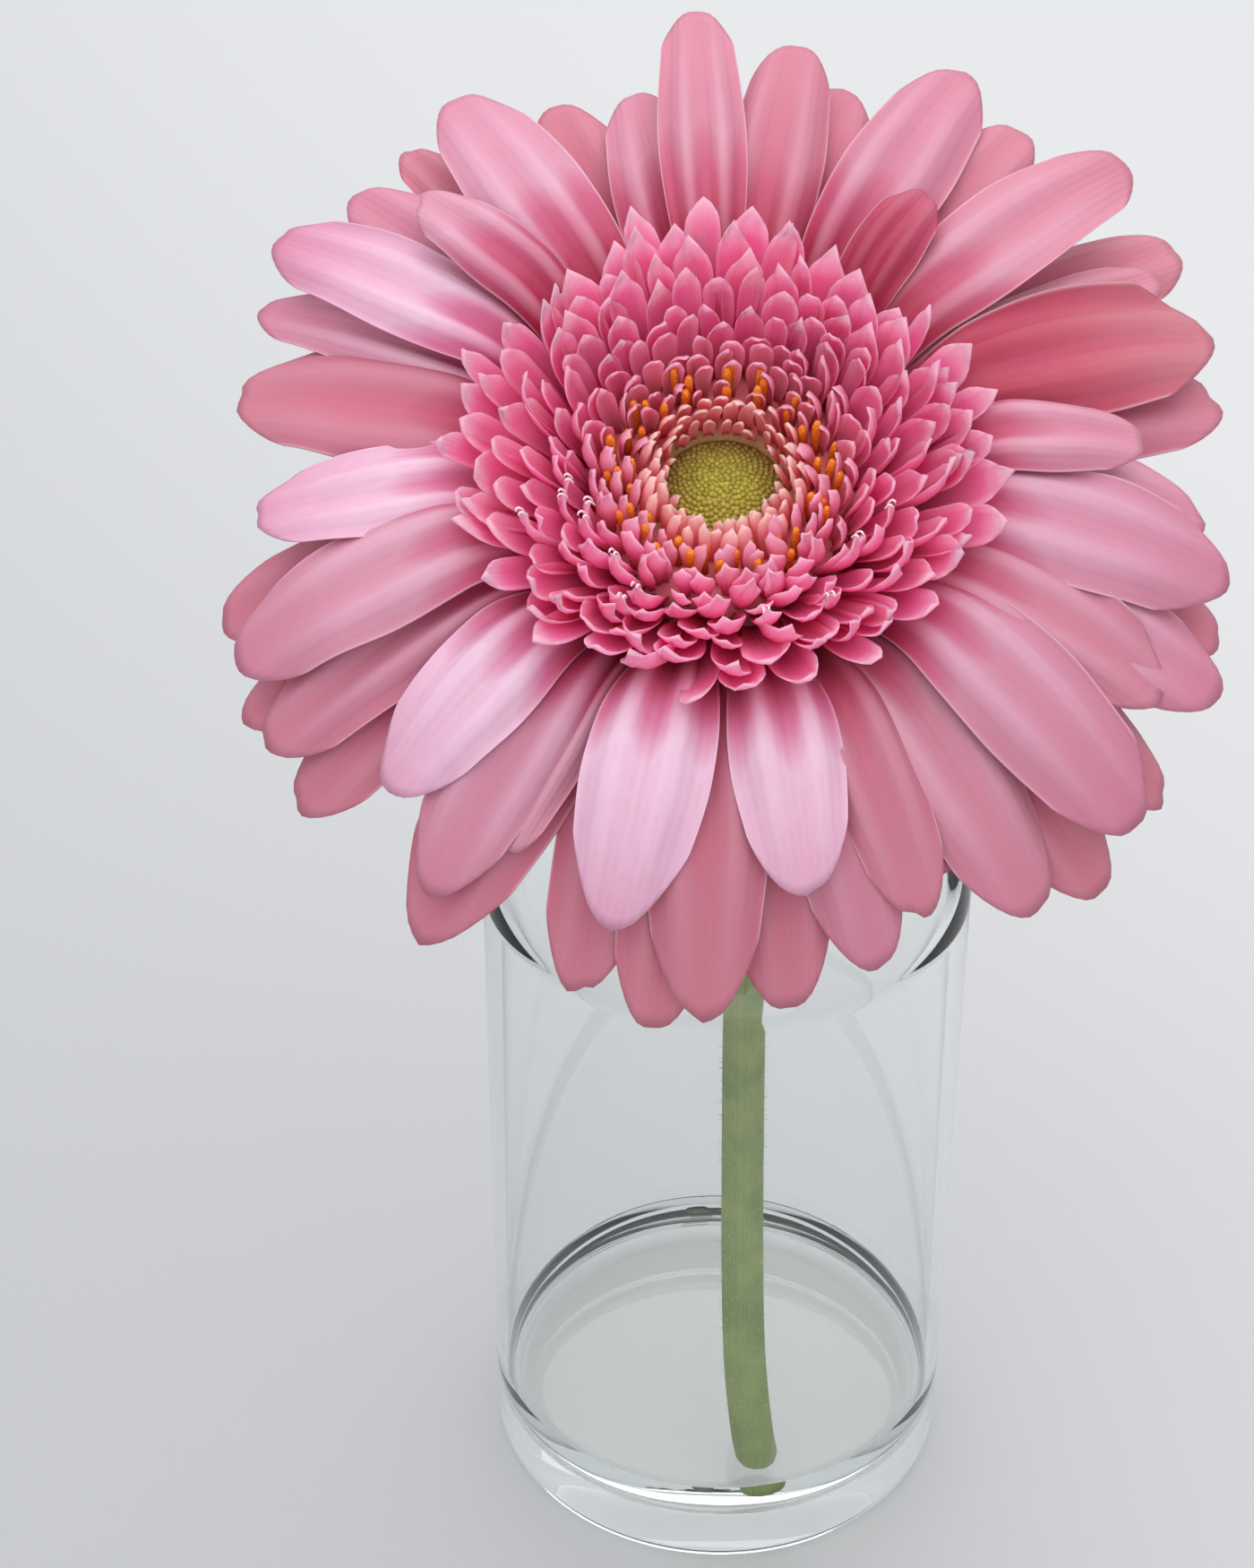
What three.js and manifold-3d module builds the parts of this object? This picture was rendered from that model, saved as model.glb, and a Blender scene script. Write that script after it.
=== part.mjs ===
// One cut gerbera in a small glass bottle with a little water.
// Millimetres, +Z up. The origin is the middle of the bottle's flat bottom, and -Y is the side that
// the bloom faces. The bloom is built in a frame of its own: the origin is the top of the eye, +Z is
// the bloom's axis, and a turn of 0 degrees is the rim's highest point, with turns running clockwise.
import * as THREE from "three";
import { mergeVertices } from "three/addons/utils/BufferGeometryUtils.js";
import Module from "manifold-3d";

const wasm = await Module();
wasm.setup();

// Bottle
const BODY_RADIUS = 29;
const WALL = 2.2;
const FLOOR = 6;
const HEEL_RADIUS = 3;
const INNER_HEEL_RADIUS = 5;
const BODY_HEIGHT = 86;
const SHOULDER_HEIGHT = 19;
const NECK_RADIUS = 16.4;
const NECK_TOP = 115;
const LIP_RADIUS = 18.2;
const BOTTLE_HEIGHT = 122;
const BOTTLE_SIDES = 32;

// Water
const WATER_LEVEL = 12;
const GAP = 0.3;

// Stem
const STEM_RADIUS = 2.6;
const STEM_SIDES = 10;
const STEM_STEPS = 18;
const STEM_FOOT = [4.7, -17, FLOOR + GAP];
const STEM_LOW = [2.8, -16, 26];
const STEM_AT_LIP = [1.2, -10.3, 116];
const STEM_ABOVE_LIP = [-0.2, -10.9, 131];

// Bloom: where its eye is, how far its axis leans from upright, and the heights of its layers
const EYE_PLACE = [-2, -22, 156];
const BLOOM_LEAN = THREE.MathUtils.degToRad(29.5);
const CUP_FOOT = -15;
const CUP_TOP = -6.8;
const CUP_RADIUS = 14.2;
const RECEPTACLE_RADIUS = 16.5;
const BED_LOW = CUP_TOP + GAP;
const RAY_BED_TOP = -3;
const FLORET_BED_LOW = RAY_BED_TOP + GAP;
const EYE_RADIUS = 6;
const BED_SIDES = 24;
const CUP_SIDES = 20;

// Ray petals, one entry each: turn in degrees, reach and width in millimetres
const FRONT_RAYS = [
  [357, 56.5, 9.5], [27, 57.5, 12], [36, 37, 7.5], [47, 59.5, 11.5], [68, 56, 14],
  [85.5, 43.5, 8.5], [101, 53, 12.5], [117, 50, 12], [129.5, 54.5, 12.5], [169, 45, 11.5],
  [193, 48.5, 13], [226, 47, 11.5], [252, 53, 12], [266, 48.5, 11], [303, 56, 10.5],
  [316, 44.5, 8.5], [329, 54.5, 12.5],
];
const MIDDLE_RAYS = [
  [8.5, 54.5, 10.5], [36, 55.5, 11], [60, 54, 8], [90.5, 50.5, 12], [111, 55, 12],
  [144.5, 53, 12.5], [155.5, 49, 9.5], [164, 51, 11], [183.5, 54, 12.5], [209, 45, 7],
  [217, 51.5, 11.5], [243, 53.5, 11], [284, 53, 14], [297, 54.5, 8], [312, 53, 11],
  [349, 49, 10],
];
const BACK_RAYS = [
  [16.5, 52.5, 11], [56, 60, 11], [75, 55, 12], [105, 53.5, 11], [123, 54.5, 10], [135, 55, 12],
  [152, 46, 9], [172, 52, 11.5], [187, 54, 11], [198, 52.5, 11], [215, 54.5, 14],
  [236, 53.5, 11], [247, 54, 9], [258, 53.5, 12], [270, 46, 10], [295, 47, 9], [322, 55, 7],
  [340, 52, 11],
];
const RAY_ROOT = 15;
const RAY_ROOT_HEIGHT = -4.6;
const RAY_THICKNESS = 0.7;
const RAY_CROWN = 6.8;
const RAY_RISE_LENGTH = 15;
const DIP_START = 22;
const DIP_LENGTH = 31;
const MEAN_DIP = 9;
const DIP_CHANGE = 7;
const RAY_LAYER_STEP = 1.8;
const RAY_NEIGHBOUR_STEP = 0.9;
const RAY_CAMBER = 0.16;
const RAY_STATIONS = [0, 0.3, 0.6, 0.86, 1];
const RAY_ACROSS = [-1, 0, 1];
const SLOPE_STEP = 0.01;

// Trans florets in rings: how many, the radius of roots and tips, the height of tips, and the width
const FLORET_RINGS = [
  { count: 15, root: 11.2, tip: 12.4, height: 4.0, width: 2.4 },
  { count: 17, root: 12.2, tip: 14.8, height: 4.9, width: 2.8 },
  { count: 19, root: 13.2, tip: 17.6, height: 6.0, width: 3.2 },
  { count: 21, root: 14.2, tip: 21.0, height: 7.4, width: 3.8 },
  { count: 24, root: 14.9, tip: 25.0, height: 8.6, width: 4.4 },
  { count: 26, root: 15.5, tip: 29.0, height: 9.4, width: 4.8 },
];
const FLORET_BED_INNER = 10;
const FLORET_BED_OUTER = 16.2;

// Inner florets and anthers, in rings of their own round the eye
const INNER_BED = { inner: 6.3, outer: 8.1, top: -0.6 };
const ANTHER_BED = { inner: 8.4, outer: 9.7, top: -0.4 };
const INNER_FLORETS = { count: 22, root: 7.3, tip: 6.7, height: 3.2, width: 1.7 };
const ANTHERS = { count: 20, root: 9.05, tip: 9.3, height: 3.9, width: 1.0 };

// Bracts on the cup under the bloom: rows from the rim down
const BRACT_ROWS = [
  { count: 12, low: 0.3, high: 0.96, width: 5.4 },
  { count: 8, low: 0.05, high: 0.66, width: 5.2 },
];
const RANDOM_SEED = 2;

const glass = new THREE.MeshStandardMaterial({ color: 0xcfd8d4, roughness: 0.05, metalness: 0 });
const waterFinish = new THREE.MeshStandardMaterial({ color: 0xdfe6e6, roughness: 0.02, metalness: 0 });
const stemGreen = new THREE.MeshStandardMaterial({ color: 0x7f9a5a, roughness: 0.6, metalness: 0 });
const petalPink = new THREE.MeshStandardMaterial({ color: 0xdf93b4, roughness: 0.55, metalness: 0 });
const floretPink = new THREE.MeshStandardMaterial({ color: 0xcf4a86, roughness: 0.55, metalness: 0 });
const salmon = new THREE.MeshStandardMaterial({ color: 0xe8a0a0, roughness: 0.55, metalness: 0 });
const orange = new THREE.MeshStandardMaterial({ color: 0xe07a18, roughness: 0.6, metalness: 0 });
const eyeYellow = new THREE.MeshStandardMaterial({ color: 0xada23a, roughness: 0.7, metalness: 0 });

const radians = THREE.MathUtils.degToRad;
const vector = (values) => new THREE.Vector3(...values);

// A repeatable source of numbers from 0 to 1 (the Park-Miller rule).
function randomSource(seed) {
  let state = seed;
  return () => {
    state = (state * 48271) % 2147483647;
    return state / 2147483647;
  };
}

// A solid of a closed geometry: shared vertices are merged, and triangles with no area go.
function solidOf(geometry) {
  const bare = geometry.clone();
  bare.deleteAttribute("normal");
  bare.deleteAttribute("uv");
  const merged = mergeVertices(bare, 1e-4);
  const corners = merged.index.array;
  const kept = [];
  for (let i = 0; i < corners.length; i += 3) {
    const [a, b, c] = [corners[i], corners[i + 1], corners[i + 2]];
    if (a !== b && b !== c && c !== a) kept.push(a, b, c);
  }
  const vertProperties = new Float32Array(merged.attributes.position.array);
  return new wasm.Manifold(
    new wasm.Mesh({ numProp: 3, vertProperties, triVerts: new Uint32Array(kept) }),
  );
}

// The geometry of a solid.
function geometryOf(solid) {
  const { vertProperties, triVerts, numProp } = solid.getMesh();
  const positions = new Float32Array((vertProperties.length / numProp) * 3);
  for (let i = 0; i < positions.length / 3; i += 1) {
    positions.set(vertProperties.subarray(i * numProp, i * numProp + 3), i * 3);
  }
  return new THREE.BufferGeometry()
    .setAttribute("position", new THREE.BufferAttribute(positions, 3))
    .setIndex(new THREE.BufferAttribute(new Uint32Array(triVerts), 1));
}

// The largest body of a solid. Leaving out the others fills any hollow that joining sealed.
function mainBody(solid) {
  return solid.decompose().reduce((best, body) => (body.volume() > best.volume() ? body : best));
}

// All the closed geometries of a list as one geometry.
function fused(geometries) {
  return geometryOf(mainBody(geometries.map(solidOf).reduce((sum, solid) => sum.add(solid))));
}

// A geometry from points and triangles of their numbers.
function meshGeometry(points, triangles) {
  return new THREE.BufferGeometry().setFromPoints(points).setIndex(triangles);
}

// A body turned about +Z from a closed outline of [radius, height] pairs, which runs anticlockwise
// when the radius points right and the height up.
function turned(outline, sides) {
  const points = [...outline, outline[0]].map(([r, z]) => new THREE.Vector2(r, z));
  return new THREE.LatheGeometry(points, sides).rotateX(Math.PI / 2);
}

// Points on an arc round a centre, from one angle to another in degrees.
function arc(centreR, centreZ, radius, from, to, steps) {
  return Array.from({ length: steps + 1 }, (_, i) => {
    const angle = radians(from + ((to - from) * i) / steps);
    return [centreR + radius * Math.cos(angle), centreZ + radius * Math.sin(angle)];
  });
}

// The bottle's shoulder: a half cosine wave from the body's radius to the neck's, inset by a wall.
function shoulder(inset, steps) {
  return Array.from({ length: steps + 1 }, (_, i) => {
    const share = i / steps;
    const fall = (1 - Math.cos(Math.PI * share)) / 2;
    const radius = BODY_RADIUS + (NECK_RADIUS - BODY_RADIUS) * fall;
    return [radius - inset, BODY_HEIGHT + SHOULDER_HEIGHT * share];
  });
}

function bottleGeometry() {
  const innerRadius = BODY_RADIUS - WALL;
  const lipRound = (LIP_RADIUS - NECK_RADIUS + WALL) / 2;
  const lipMiddle = LIP_RADIUS - lipRound;
  const outline = [
    [0, 0],
    ...arc(BODY_RADIUS - HEEL_RADIUS, HEEL_RADIUS, HEEL_RADIUS, -90, 0, 3),
    ...shoulder(0, 5),
    [NECK_RADIUS, NECK_TOP - 1.5],
    [LIP_RADIUS, NECK_TOP],
    ...arc(lipMiddle, BOTTLE_HEIGHT - lipRound, lipRound, 0, 180, 4),
    ...shoulder(WALL, 5).reverse(),
    ...arc(innerRadius - INNER_HEEL_RADIUS, FLOOR + INNER_HEEL_RADIUS, INNER_HEEL_RADIUS, 0, -90, 3),
    [0, FLOOR],
  ];
  return turned(outline, BOTTLE_SIDES);
}

// The stem's middle line, from its foot in the water to the cup under the bloom.
function stemCurve() {
  const axis = new THREE.Vector3(0, -Math.sin(BLOOM_LEAN), Math.cos(BLOOM_LEAN));
  const top = vector(EYE_PLACE).addScaledVector(axis, CUP_FOOT + 1);
  const belowTop = vector(EYE_PLACE).addScaledVector(axis, CUP_FOOT - 3);
  const places = [STEM_FOOT, STEM_LOW, STEM_AT_LIP, STEM_ABOVE_LIP].map(vector);
  return new THREE.CatmullRomCurve3([...places, belowTop, top], false, "centripetal");
}

// A round tube along the stem's line.
function stemTube(radius) {
  const section = new THREE.Shape();
  for (let i = 0; i < STEM_SIDES; i += 1) {
    const angle = (2 * Math.PI * i) / STEM_SIDES;
    const [x, y] = [radius * Math.cos(angle), radius * Math.sin(angle)];
    if (i === 0) section.moveTo(x, y);
    else section.lineTo(x, y);
  }
  section.closePath();
  return new THREE.ExtrudeGeometry(section, { steps: STEM_STEPS, extrudePath: stemCurve() });
}

// The water fills the bottle to its level, with a plain hole where the stem stands.
function waterGeometry() {
  const radius = BODY_RADIUS - WALL - GAP;
  const low = FLOOR + GAP;
  const outline = [
    [0, low],
    ...arc(radius - INNER_HEEL_RADIUS, low + INNER_HEEL_RADIUS, INNER_HEEL_RADIUS, -90, 0, 3),
    [radius, WATER_LEVEL],
    [0, WATER_LEVEL],
  ];
  const hole = solidOf(stemTube(STEM_RADIUS + GAP));
  const holeBelow = solidOf(stemTube(STEM_RADIUS + GAP).translate(0, 0, -STEM_RADIUS));
  return geometryOf(solidOf(turned(outline, BOTTLE_SIDES)).subtract(hole).subtract(holeBelow));
}

// A point of the bloom at a radius, a turn in radians and a height, in the bloom's frame.
function bloomPoint(radius, turn, height) {
  return new THREE.Vector3(radius * Math.sin(turn), radius * Math.cos(turn), height);
}

// The directions at a point of a blade whose middle line lies in the plane of its turn: across the
// blade, and square to its face, from the slope of the line.
function bladeFrame(turn, outward, upward) {
  const across = new THREE.Vector3(Math.cos(turn), -Math.sin(turn), 0);
  const length = Math.hypot(outward, upward);
  const face = bloomPoint(-upward / length, turn, outward / length);
  return { across, face };
}

// A closed thin blade from rows of points on its upper face and on its lower face. Both faces are
// split into triangles alike.
function bladeGeometry(upper, lower) {
  const wide = upper[0].length;
  const long = upper.length;
  const points = [...upper.flat(), ...lower.flat()];
  const under = wide * long;
  const at = (i, j) => i * wide + j;
  const triangles = [];
  const quad = (a, b, c, d) => triangles.push(a, b, c, a, c, d);
  for (let i = 0; i < long - 1; i += 1) {
    for (let j = 0; j < wide - 1; j += 1) {
      const [a, b, c, d] = [at(i, j), at(i, j + 1), at(i + 1, j + 1), at(i + 1, j)];
      triangles.push(a, b, c, a, c, d);
      triangles.push(under + a, under + c, under + b, under + a, under + d, under + c);
    }
    quad(at(i, 0), at(i + 1, 0), under + at(i + 1, 0), under + at(i, 0));
    const last = wide - 1;
    quad(at(i + 1, last), at(i, last), under + at(i, last), under + at(i + 1, last));
  }
  for (let j = 0; j < wide - 1; j += 1) {
    quad(at(0, j + 1), at(0, j), under + at(0, j), under + at(0, j + 1));
    quad(at(long - 1, j), at(long - 1, j + 1), under + at(long - 1, j + 1), under + at(long - 1, j));
  }
  return meshGeometry(points, triangles);
}

// The height of a ray petal's middle line at a radius: up from the bed to a crown, then down by a dip
// that grows with the square of the distance. Petals on the low side dip more, and each layer lies
// lower by its drop.
function rayHeight(radius, turn, drop) {
  const rise = Math.sin((Math.PI / 2) * Math.min(1, (radius - RAY_ROOT) / RAY_RISE_LENGTH));
  const dip = MEAN_DIP - DIP_CHANGE * Math.cos(turn);
  const past = Math.max(0, radius - DIP_START) / DIP_LENGTH;
  const root = RAY_ROOT_HEIGHT - 0.3 * drop;
  return root + (RAY_CROWN - drop - root) * rise - dip * past ** 2;
}

// A ray petal's half width as a share of its widest: it swells to two thirds of the length and ends
// in a rounded tip.
function rayTaper(share) {
  const swell = 0.36 + 0.64 * Math.sin((Math.PI / 2) * Math.min(1, share / 0.62));
  return swell * Math.sqrt(1 - 0.94 * share ** 6);
}

function rayPetal([degrees, reach, width], drop) {
  const turn = radians(degrees);
  const upper = [];
  const lower = [];
  for (const share of RAY_STATIONS) {
    const radius = RAY_ROOT + (reach - RAY_ROOT) * share;
    const height = rayHeight(radius, turn, drop);
    const rise = rayHeight(radius + SLOPE_STEP, turn, drop) - height;
    const { across, face } = bladeFrame(turn, SLOPE_STEP, rise);
    const middle = bloomPoint(radius, turn, height);
    const half = (width / 2) * rayTaper(share);
    const top = RAY_ACROSS.map((u) => middle.clone()
      .addScaledVector(across, half * u)
      .addScaledVector(face, -RAY_CAMBER * half * u * u));
    upper.push(top);
    lower.push(top.map((point) => point.clone().addScaledVector(face, -RAY_THICKNESS)));
  }
  return bladeGeometry(upper, lower);
}

// A flat ring that florets or petals grow from, in the bloom's frame.
function bed(inner, outer, low, top) {
  return turned([[inner, low], [outer, low], [outer, top], [inner, top]], BED_SIDES);
}

function rayPetalsGeometry() {
  const layers = [FRONT_RAYS, MIDDLE_RAYS, BACK_RAYS];
  const petals = layers.flatMap((layer, depth) => layer.map((petal, index) => {
    const drop = depth * RAY_LAYER_STEP + (index % 2) * RAY_NEIGHBOUR_STEP;
    return rayPetal(petal, drop);
  }));
  return fused([bed(EYE_RADIUS + GAP, RECEPTACLE_RADIUS, BED_LOW, RAY_BED_TOP), ...petals]);
}

// A small cupped floret: a boat whose section has two raised edges, a channel and a keel. Its middle
// line is a curve from the root that first rises and then leans over to the tip.
function boat({ turn, root, rootHeight, tip, height, width, cup = 0.2, thickness = 0.6 }) {
  const line = new THREE.QuadraticBezierCurve(
    new THREE.Vector2(root, rootHeight),
    new THREE.Vector2(root + (tip - root) * 0.3, rootHeight + (height - rootHeight) * 0.72),
    new THREE.Vector2(tip, height),
  );
  const stations = [[0, 0.4], [0.78, 1]];
  const points = stations.flatMap(([share, swell]) => {
    const { x, y } = line.getPoint(share);
    const slope = line.getTangent(share);
    const { across, face } = bladeFrame(turn, slope.x, slope.y);
    const middle = bloomPoint(x, turn, y);
    const half = (width / 2) * swell;
    const place = (u, lift) => middle.clone()
      .addScaledVector(across, half * u)
      .addScaledVector(face, lift);
    return [place(-1, cup * width), place(0, -thickness), place(1, cup * width), place(0, 0)];
  });
  points.push(bloomPoint(tip, turn, height));
  const end = points.length - 1;
  const triangles = [0, 1, 3, 1, 2, 3];
  for (let side = 0; side < 4; side += 1) {
    const next = (side + 1) % 4;
    const far = [side + 4, next + 4];
    // Each half of the upper and of the lower face is split from the middle line's root to the edge.
    if (side % 2 === 0) triangles.push(side, far[0], next, next, far[0], far[1]);
    else triangles.push(side, far[0], far[1], side, far[1], next);
    triangles.push(far[0], end, far[1]);
  }
  return meshGeometry(points, triangles);
}

// A ring of boats, each turned and sized a little by the draw.
function boatRing({ count, root, tip, height, width }, rootHeight, offset, random, loose = 1) {
  return Array.from({ length: count }, (_, index) => {
    const sway = (random() - 0.5) * 0.35 * loose;
    const turn = (2 * Math.PI * (index + offset + sway)) / count;
    const reach = tip + (random() - 0.5) * 1.2 * loose;
    return boat({ turn, root, rootHeight, tip: reach, height: height + (random() - 0.5) * loose, width });
  });
}

// Rings of trans florets on a bed whose top is a low dome.
function transFloretsGeometry(random) {
  const outline = [
    [FLORET_BED_INNER, FLORET_BED_LOW],
    [FLORET_BED_OUTER, FLORET_BED_LOW],
    [FLORET_BED_OUTER, -1.4],
    [14, 0.5],
    [12, 0.8],
    [FLORET_BED_INNER, 0.2],
  ];
  const rings = FLORET_RINGS.flatMap((ring, index) => {
    const rootHeight = index < 3 ? -1 : -1 - (index - 2) * 0.35;
    return boatRing(ring, rootHeight, index * 0.5, random);
  });
  return fused([turned(outline, BED_SIDES), ...rings]);
}

function innerFloretsGeometry(random) {
  const { inner, outer, top } = INNER_BED;
  const ring = boatRing(INNER_FLORETS, top - 1, 0, random, 0.4);
  return fused([bed(inner, outer, FLORET_BED_LOW, top), ...ring]);
}

// Anther tubes: slim five-sided pegs that stand on their ring and lean a little outwards.
function anthersGeometry(random) {
  const { inner, outer, top } = ANTHER_BED;
  const { count, root, tip, height, width } = ANTHERS;
  const pegs = Array.from({ length: count }, (_, index) => {
    const turn = (2 * Math.PI * (index + 0.5)) / count;
    const tall = height + (random() - 0.5) * 1.2 - (top - 1);
    const peg = new THREE.CylinderGeometry(width * 0.3, width * 0.55, tall, 5).rotateX(Math.PI / 2);
    peg.rotateX(-Math.atan2(tip - root, tall));
    peg.rotateZ(-turn);
    const middle = bloomPoint((root + tip) / 2, turn, top - 1 + tall / 2);
    return peg.translate(middle.x, middle.y, middle.z);
  });
  return fused([bed(inner, outer, FLORET_BED_LOW, top), ...pegs]);
}

// The eye's dome with the relief of its closed buds: two families of spirals that cross.
function eyeHeight(radius, turn) {
  const dome = -1.5 * (radius / EYE_RADIUS) ** 2;
  const spiral = 5.2 * Math.log(1 + radius);
  const fade = Math.min(1, radius / 1.5);
  return dome + 0.22 * fade * Math.cos(13 * turn + spiral) * Math.cos(8 * turn - spiral);
}

function eyeGeometry() {
  const rings = 7;
  const sides = 32;
  const points = [new THREE.Vector3(0, 0, 0)];
  for (let ring = 1; ring <= rings; ring += 1) {
    for (let side = 0; side < sides; side += 1) {
      const radius = (EYE_RADIUS * ring) / rings;
      const turn = (2 * Math.PI * side) / sides;
      points.push(bloomPoint(radius, turn, eyeHeight(radius, turn)));
    }
  }
  for (let side = 0; side < sides; side += 1) {
    points.push(bloomPoint(EYE_RADIUS, (2 * Math.PI * side) / sides, BED_LOW));
  }
  const foot = points.push(new THREE.Vector3(0, 0, BED_LOW)) - 1;
  const at = (ring, side) => 1 + (ring - 1) * sides + (side % sides);
  const triangles = [];
  for (let side = 0; side < sides; side += 1) {
    triangles.push(0, at(1, side + 1), at(1, side));
    for (let ring = 1; ring <= rings; ring += 1) {
      const [a, b] = [at(ring, side), at(ring, side + 1)];
      const [c, d] = [at(ring + 1, side), at(ring + 1, side + 1)];
      triangles.push(a, b, d, a, d, c);
    }
    triangles.push(foot, at(rings + 1, side), at(rings + 1, side + 1));
  }
  return meshGeometry(points, triangles);
}

// The cup's radius at a share of its height, from the stem up to the rim.
function cupRadius(share) {
  const start = STEM_RADIUS + 0.4;
  return start + (CUP_RADIUS - start) * Math.sin((Math.PI / 2) * Math.min(1, share)) ** 0.8;
}

// A bract: a narrow pointed scale that lies along the cup, with its tip standing a little off.
function bract(turn, { low, high, width }) {
  const heightAt = (share) => CUP_FOOT + (CUP_TOP - CUP_FOOT) * share;
  const stations = [0, 0.6, 1];
  const upper = [];
  const lower = [];
  for (const station of stations) {
    const share = low + (high - low) * station;
    const radius = cupRadius(share) + 0.15 + 0.7 * station;
    const half = (width / 2) * (station === 1 ? 0.12 : 0.75 + 0.4 * station * (1 - station));
    const across = new THREE.Vector3(Math.cos(turn), -Math.sin(turn), 0);
    const row = (r, lift) => [-1, 1].map((u) => bloomPoint(r, turn, heightAt(share) + lift)
      .addScaledVector(across, half * u));
    upper.push(row(radius - 0.5, 0.35));
    lower.push(row(radius + 0.2, -0.35));
  }
  return bladeGeometry(upper, lower);
}

// The scape and the cup with its bracts grew as one piece.
function stemGeometry(bloomMatrix) {
  const steps = 4;
  const wall = Array.from({ length: steps + 1 }, (_, i) => {
    const share = i / steps;
    return [cupRadius(share), CUP_FOOT + (CUP_TOP - CUP_FOOT) * share];
  });
  const cup = turned([[0, CUP_FOOT], ...wall, [0, CUP_TOP]], CUP_SIDES);
  const bracts = BRACT_ROWS.flatMap((row, depth) => Array.from({ length: row.count }, (_, i) => {
    return bract((2 * Math.PI * (i + depth * 0.5)) / row.count, row);
  }));
  const head = [cup, ...bracts].map((geometry) => geometry.applyMatrix4(bloomMatrix));
  return fused([stemTube(STEM_RADIUS), ...head]);
}

function named(name, geometry, material) {
  const mesh = new THREE.Mesh(geometry, material);
  mesh.name = name;
  return mesh;
}

function makeFlowerInBottle() {
  const random = randomSource(RANDOM_SEED);
  const bloom = new THREE.Group();
  bloom.position.set(...EYE_PLACE);
  bloom.rotation.x = BLOOM_LEAN;
  bloom.updateMatrix();
  bloom.add(
    named("ray_petals", rayPetalsGeometry(), petalPink),
    named("trans_florets", transFloretsGeometry(random), floretPink),
    named("inner_florets", innerFloretsGeometry(random), salmon),
    named("anthers", anthersGeometry(random), orange),
    named("eye", eyeGeometry(), eyeYellow),
  );
  const whole = new THREE.Group();
  whole.add(
    named("bottle", bottleGeometry(), glass),
    named("water", waterGeometry(), waterFinish),
    named("stem", stemGeometry(bloom.matrix), stemGreen),
    bloom,
  );
  return whole;
}

export default makeFlowerInBottle();
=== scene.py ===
"""One cut gerbera in a small glass bottle with a little water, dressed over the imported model.

Lengths are millimetres until a mesh is made. +Z is up, and -Y is the side that the bloom faces. The
bloom is worked out in a frame of its own: its origin is the top of the eye, +Z is the bloom's axis, and
a turn of 0 is the rim's highest point, with turns running clockwise as seen from the front.
"""
import math

import bmesh
import bpy
import numpy as np
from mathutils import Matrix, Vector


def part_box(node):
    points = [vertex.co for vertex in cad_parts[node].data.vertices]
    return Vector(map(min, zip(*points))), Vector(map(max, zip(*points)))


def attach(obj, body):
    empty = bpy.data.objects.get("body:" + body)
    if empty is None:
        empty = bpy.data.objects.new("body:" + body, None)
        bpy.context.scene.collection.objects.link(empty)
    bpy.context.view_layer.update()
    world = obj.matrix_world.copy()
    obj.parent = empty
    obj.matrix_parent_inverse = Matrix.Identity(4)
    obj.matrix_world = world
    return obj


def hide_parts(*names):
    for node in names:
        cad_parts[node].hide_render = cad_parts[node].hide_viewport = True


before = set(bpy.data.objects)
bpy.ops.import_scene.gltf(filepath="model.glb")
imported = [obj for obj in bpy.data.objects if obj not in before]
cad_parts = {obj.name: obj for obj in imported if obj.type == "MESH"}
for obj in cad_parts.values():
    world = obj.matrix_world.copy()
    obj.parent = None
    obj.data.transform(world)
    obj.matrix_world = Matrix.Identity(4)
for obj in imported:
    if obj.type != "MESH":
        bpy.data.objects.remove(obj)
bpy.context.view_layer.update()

MM = 0.001

# Bottle and water
BODY_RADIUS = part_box("bottle")[1].x / MM
BOTTLE_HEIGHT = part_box("bottle")[1].z / MM
WALL = 2.2
NECK_WALL = 1.4
FLOOR = 6.0
HEEL_RADIUS = 3.0
INNER_HEEL_RADIUS = 5.0
BODY_HEIGHT = 88.5
SHOULDER_HEIGHT = 17.0
NECK_RADIUS = 16.4
NECK_TOP = 115.0
LIP_RADIUS = 18.2
WATER_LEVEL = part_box("water")[1].z / MM
WATER_INSET = 0.02
MENISCUS = 1.1
MENISCUS_LENGTH = 1.1
PUNT = 0.3
GLASS_IOR = 1.5
WATER_IOR = 1.333
GLASS_TINT = (0.982, 0.994, 0.988)
WATER_TINT = (0.985, 0.995, 0.99)
# Lamp light that goes straight through: its colour, and how sharply it fades where it grazes the surface
STRAIGHT_TINT = (0.997, 1.0, 0.998, 1.0)
GRAZING_POWER = 8.0
GLASS_SIDES = 160
WET_ROWS = 14

# Stem
STEM_RADIUS = 2.6
STEM_FOOT = (4.7, -17.0, FLOOR + 0.3)
STEM_LOW = (2.8, -16.0, 26.0)
STEM_AT_LIP = (1.2, -10.3, 116.0)
STEM_ABOVE_LIP = (-0.2, -10.9, 131.0)
HAIR_COUNT = 1500
HAIR_RADIUS = 0.045

# Bloom
EYE_PLACE = np.array([-2.0, -22.0, 156.0])
BLOOM_LEAN = math.radians(29.5)
CUP_FOOT = -15.0
CUP_TOP = -6.8
CUP_RADIUS = 14.2
EYE_RADIUS = 6.0

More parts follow.
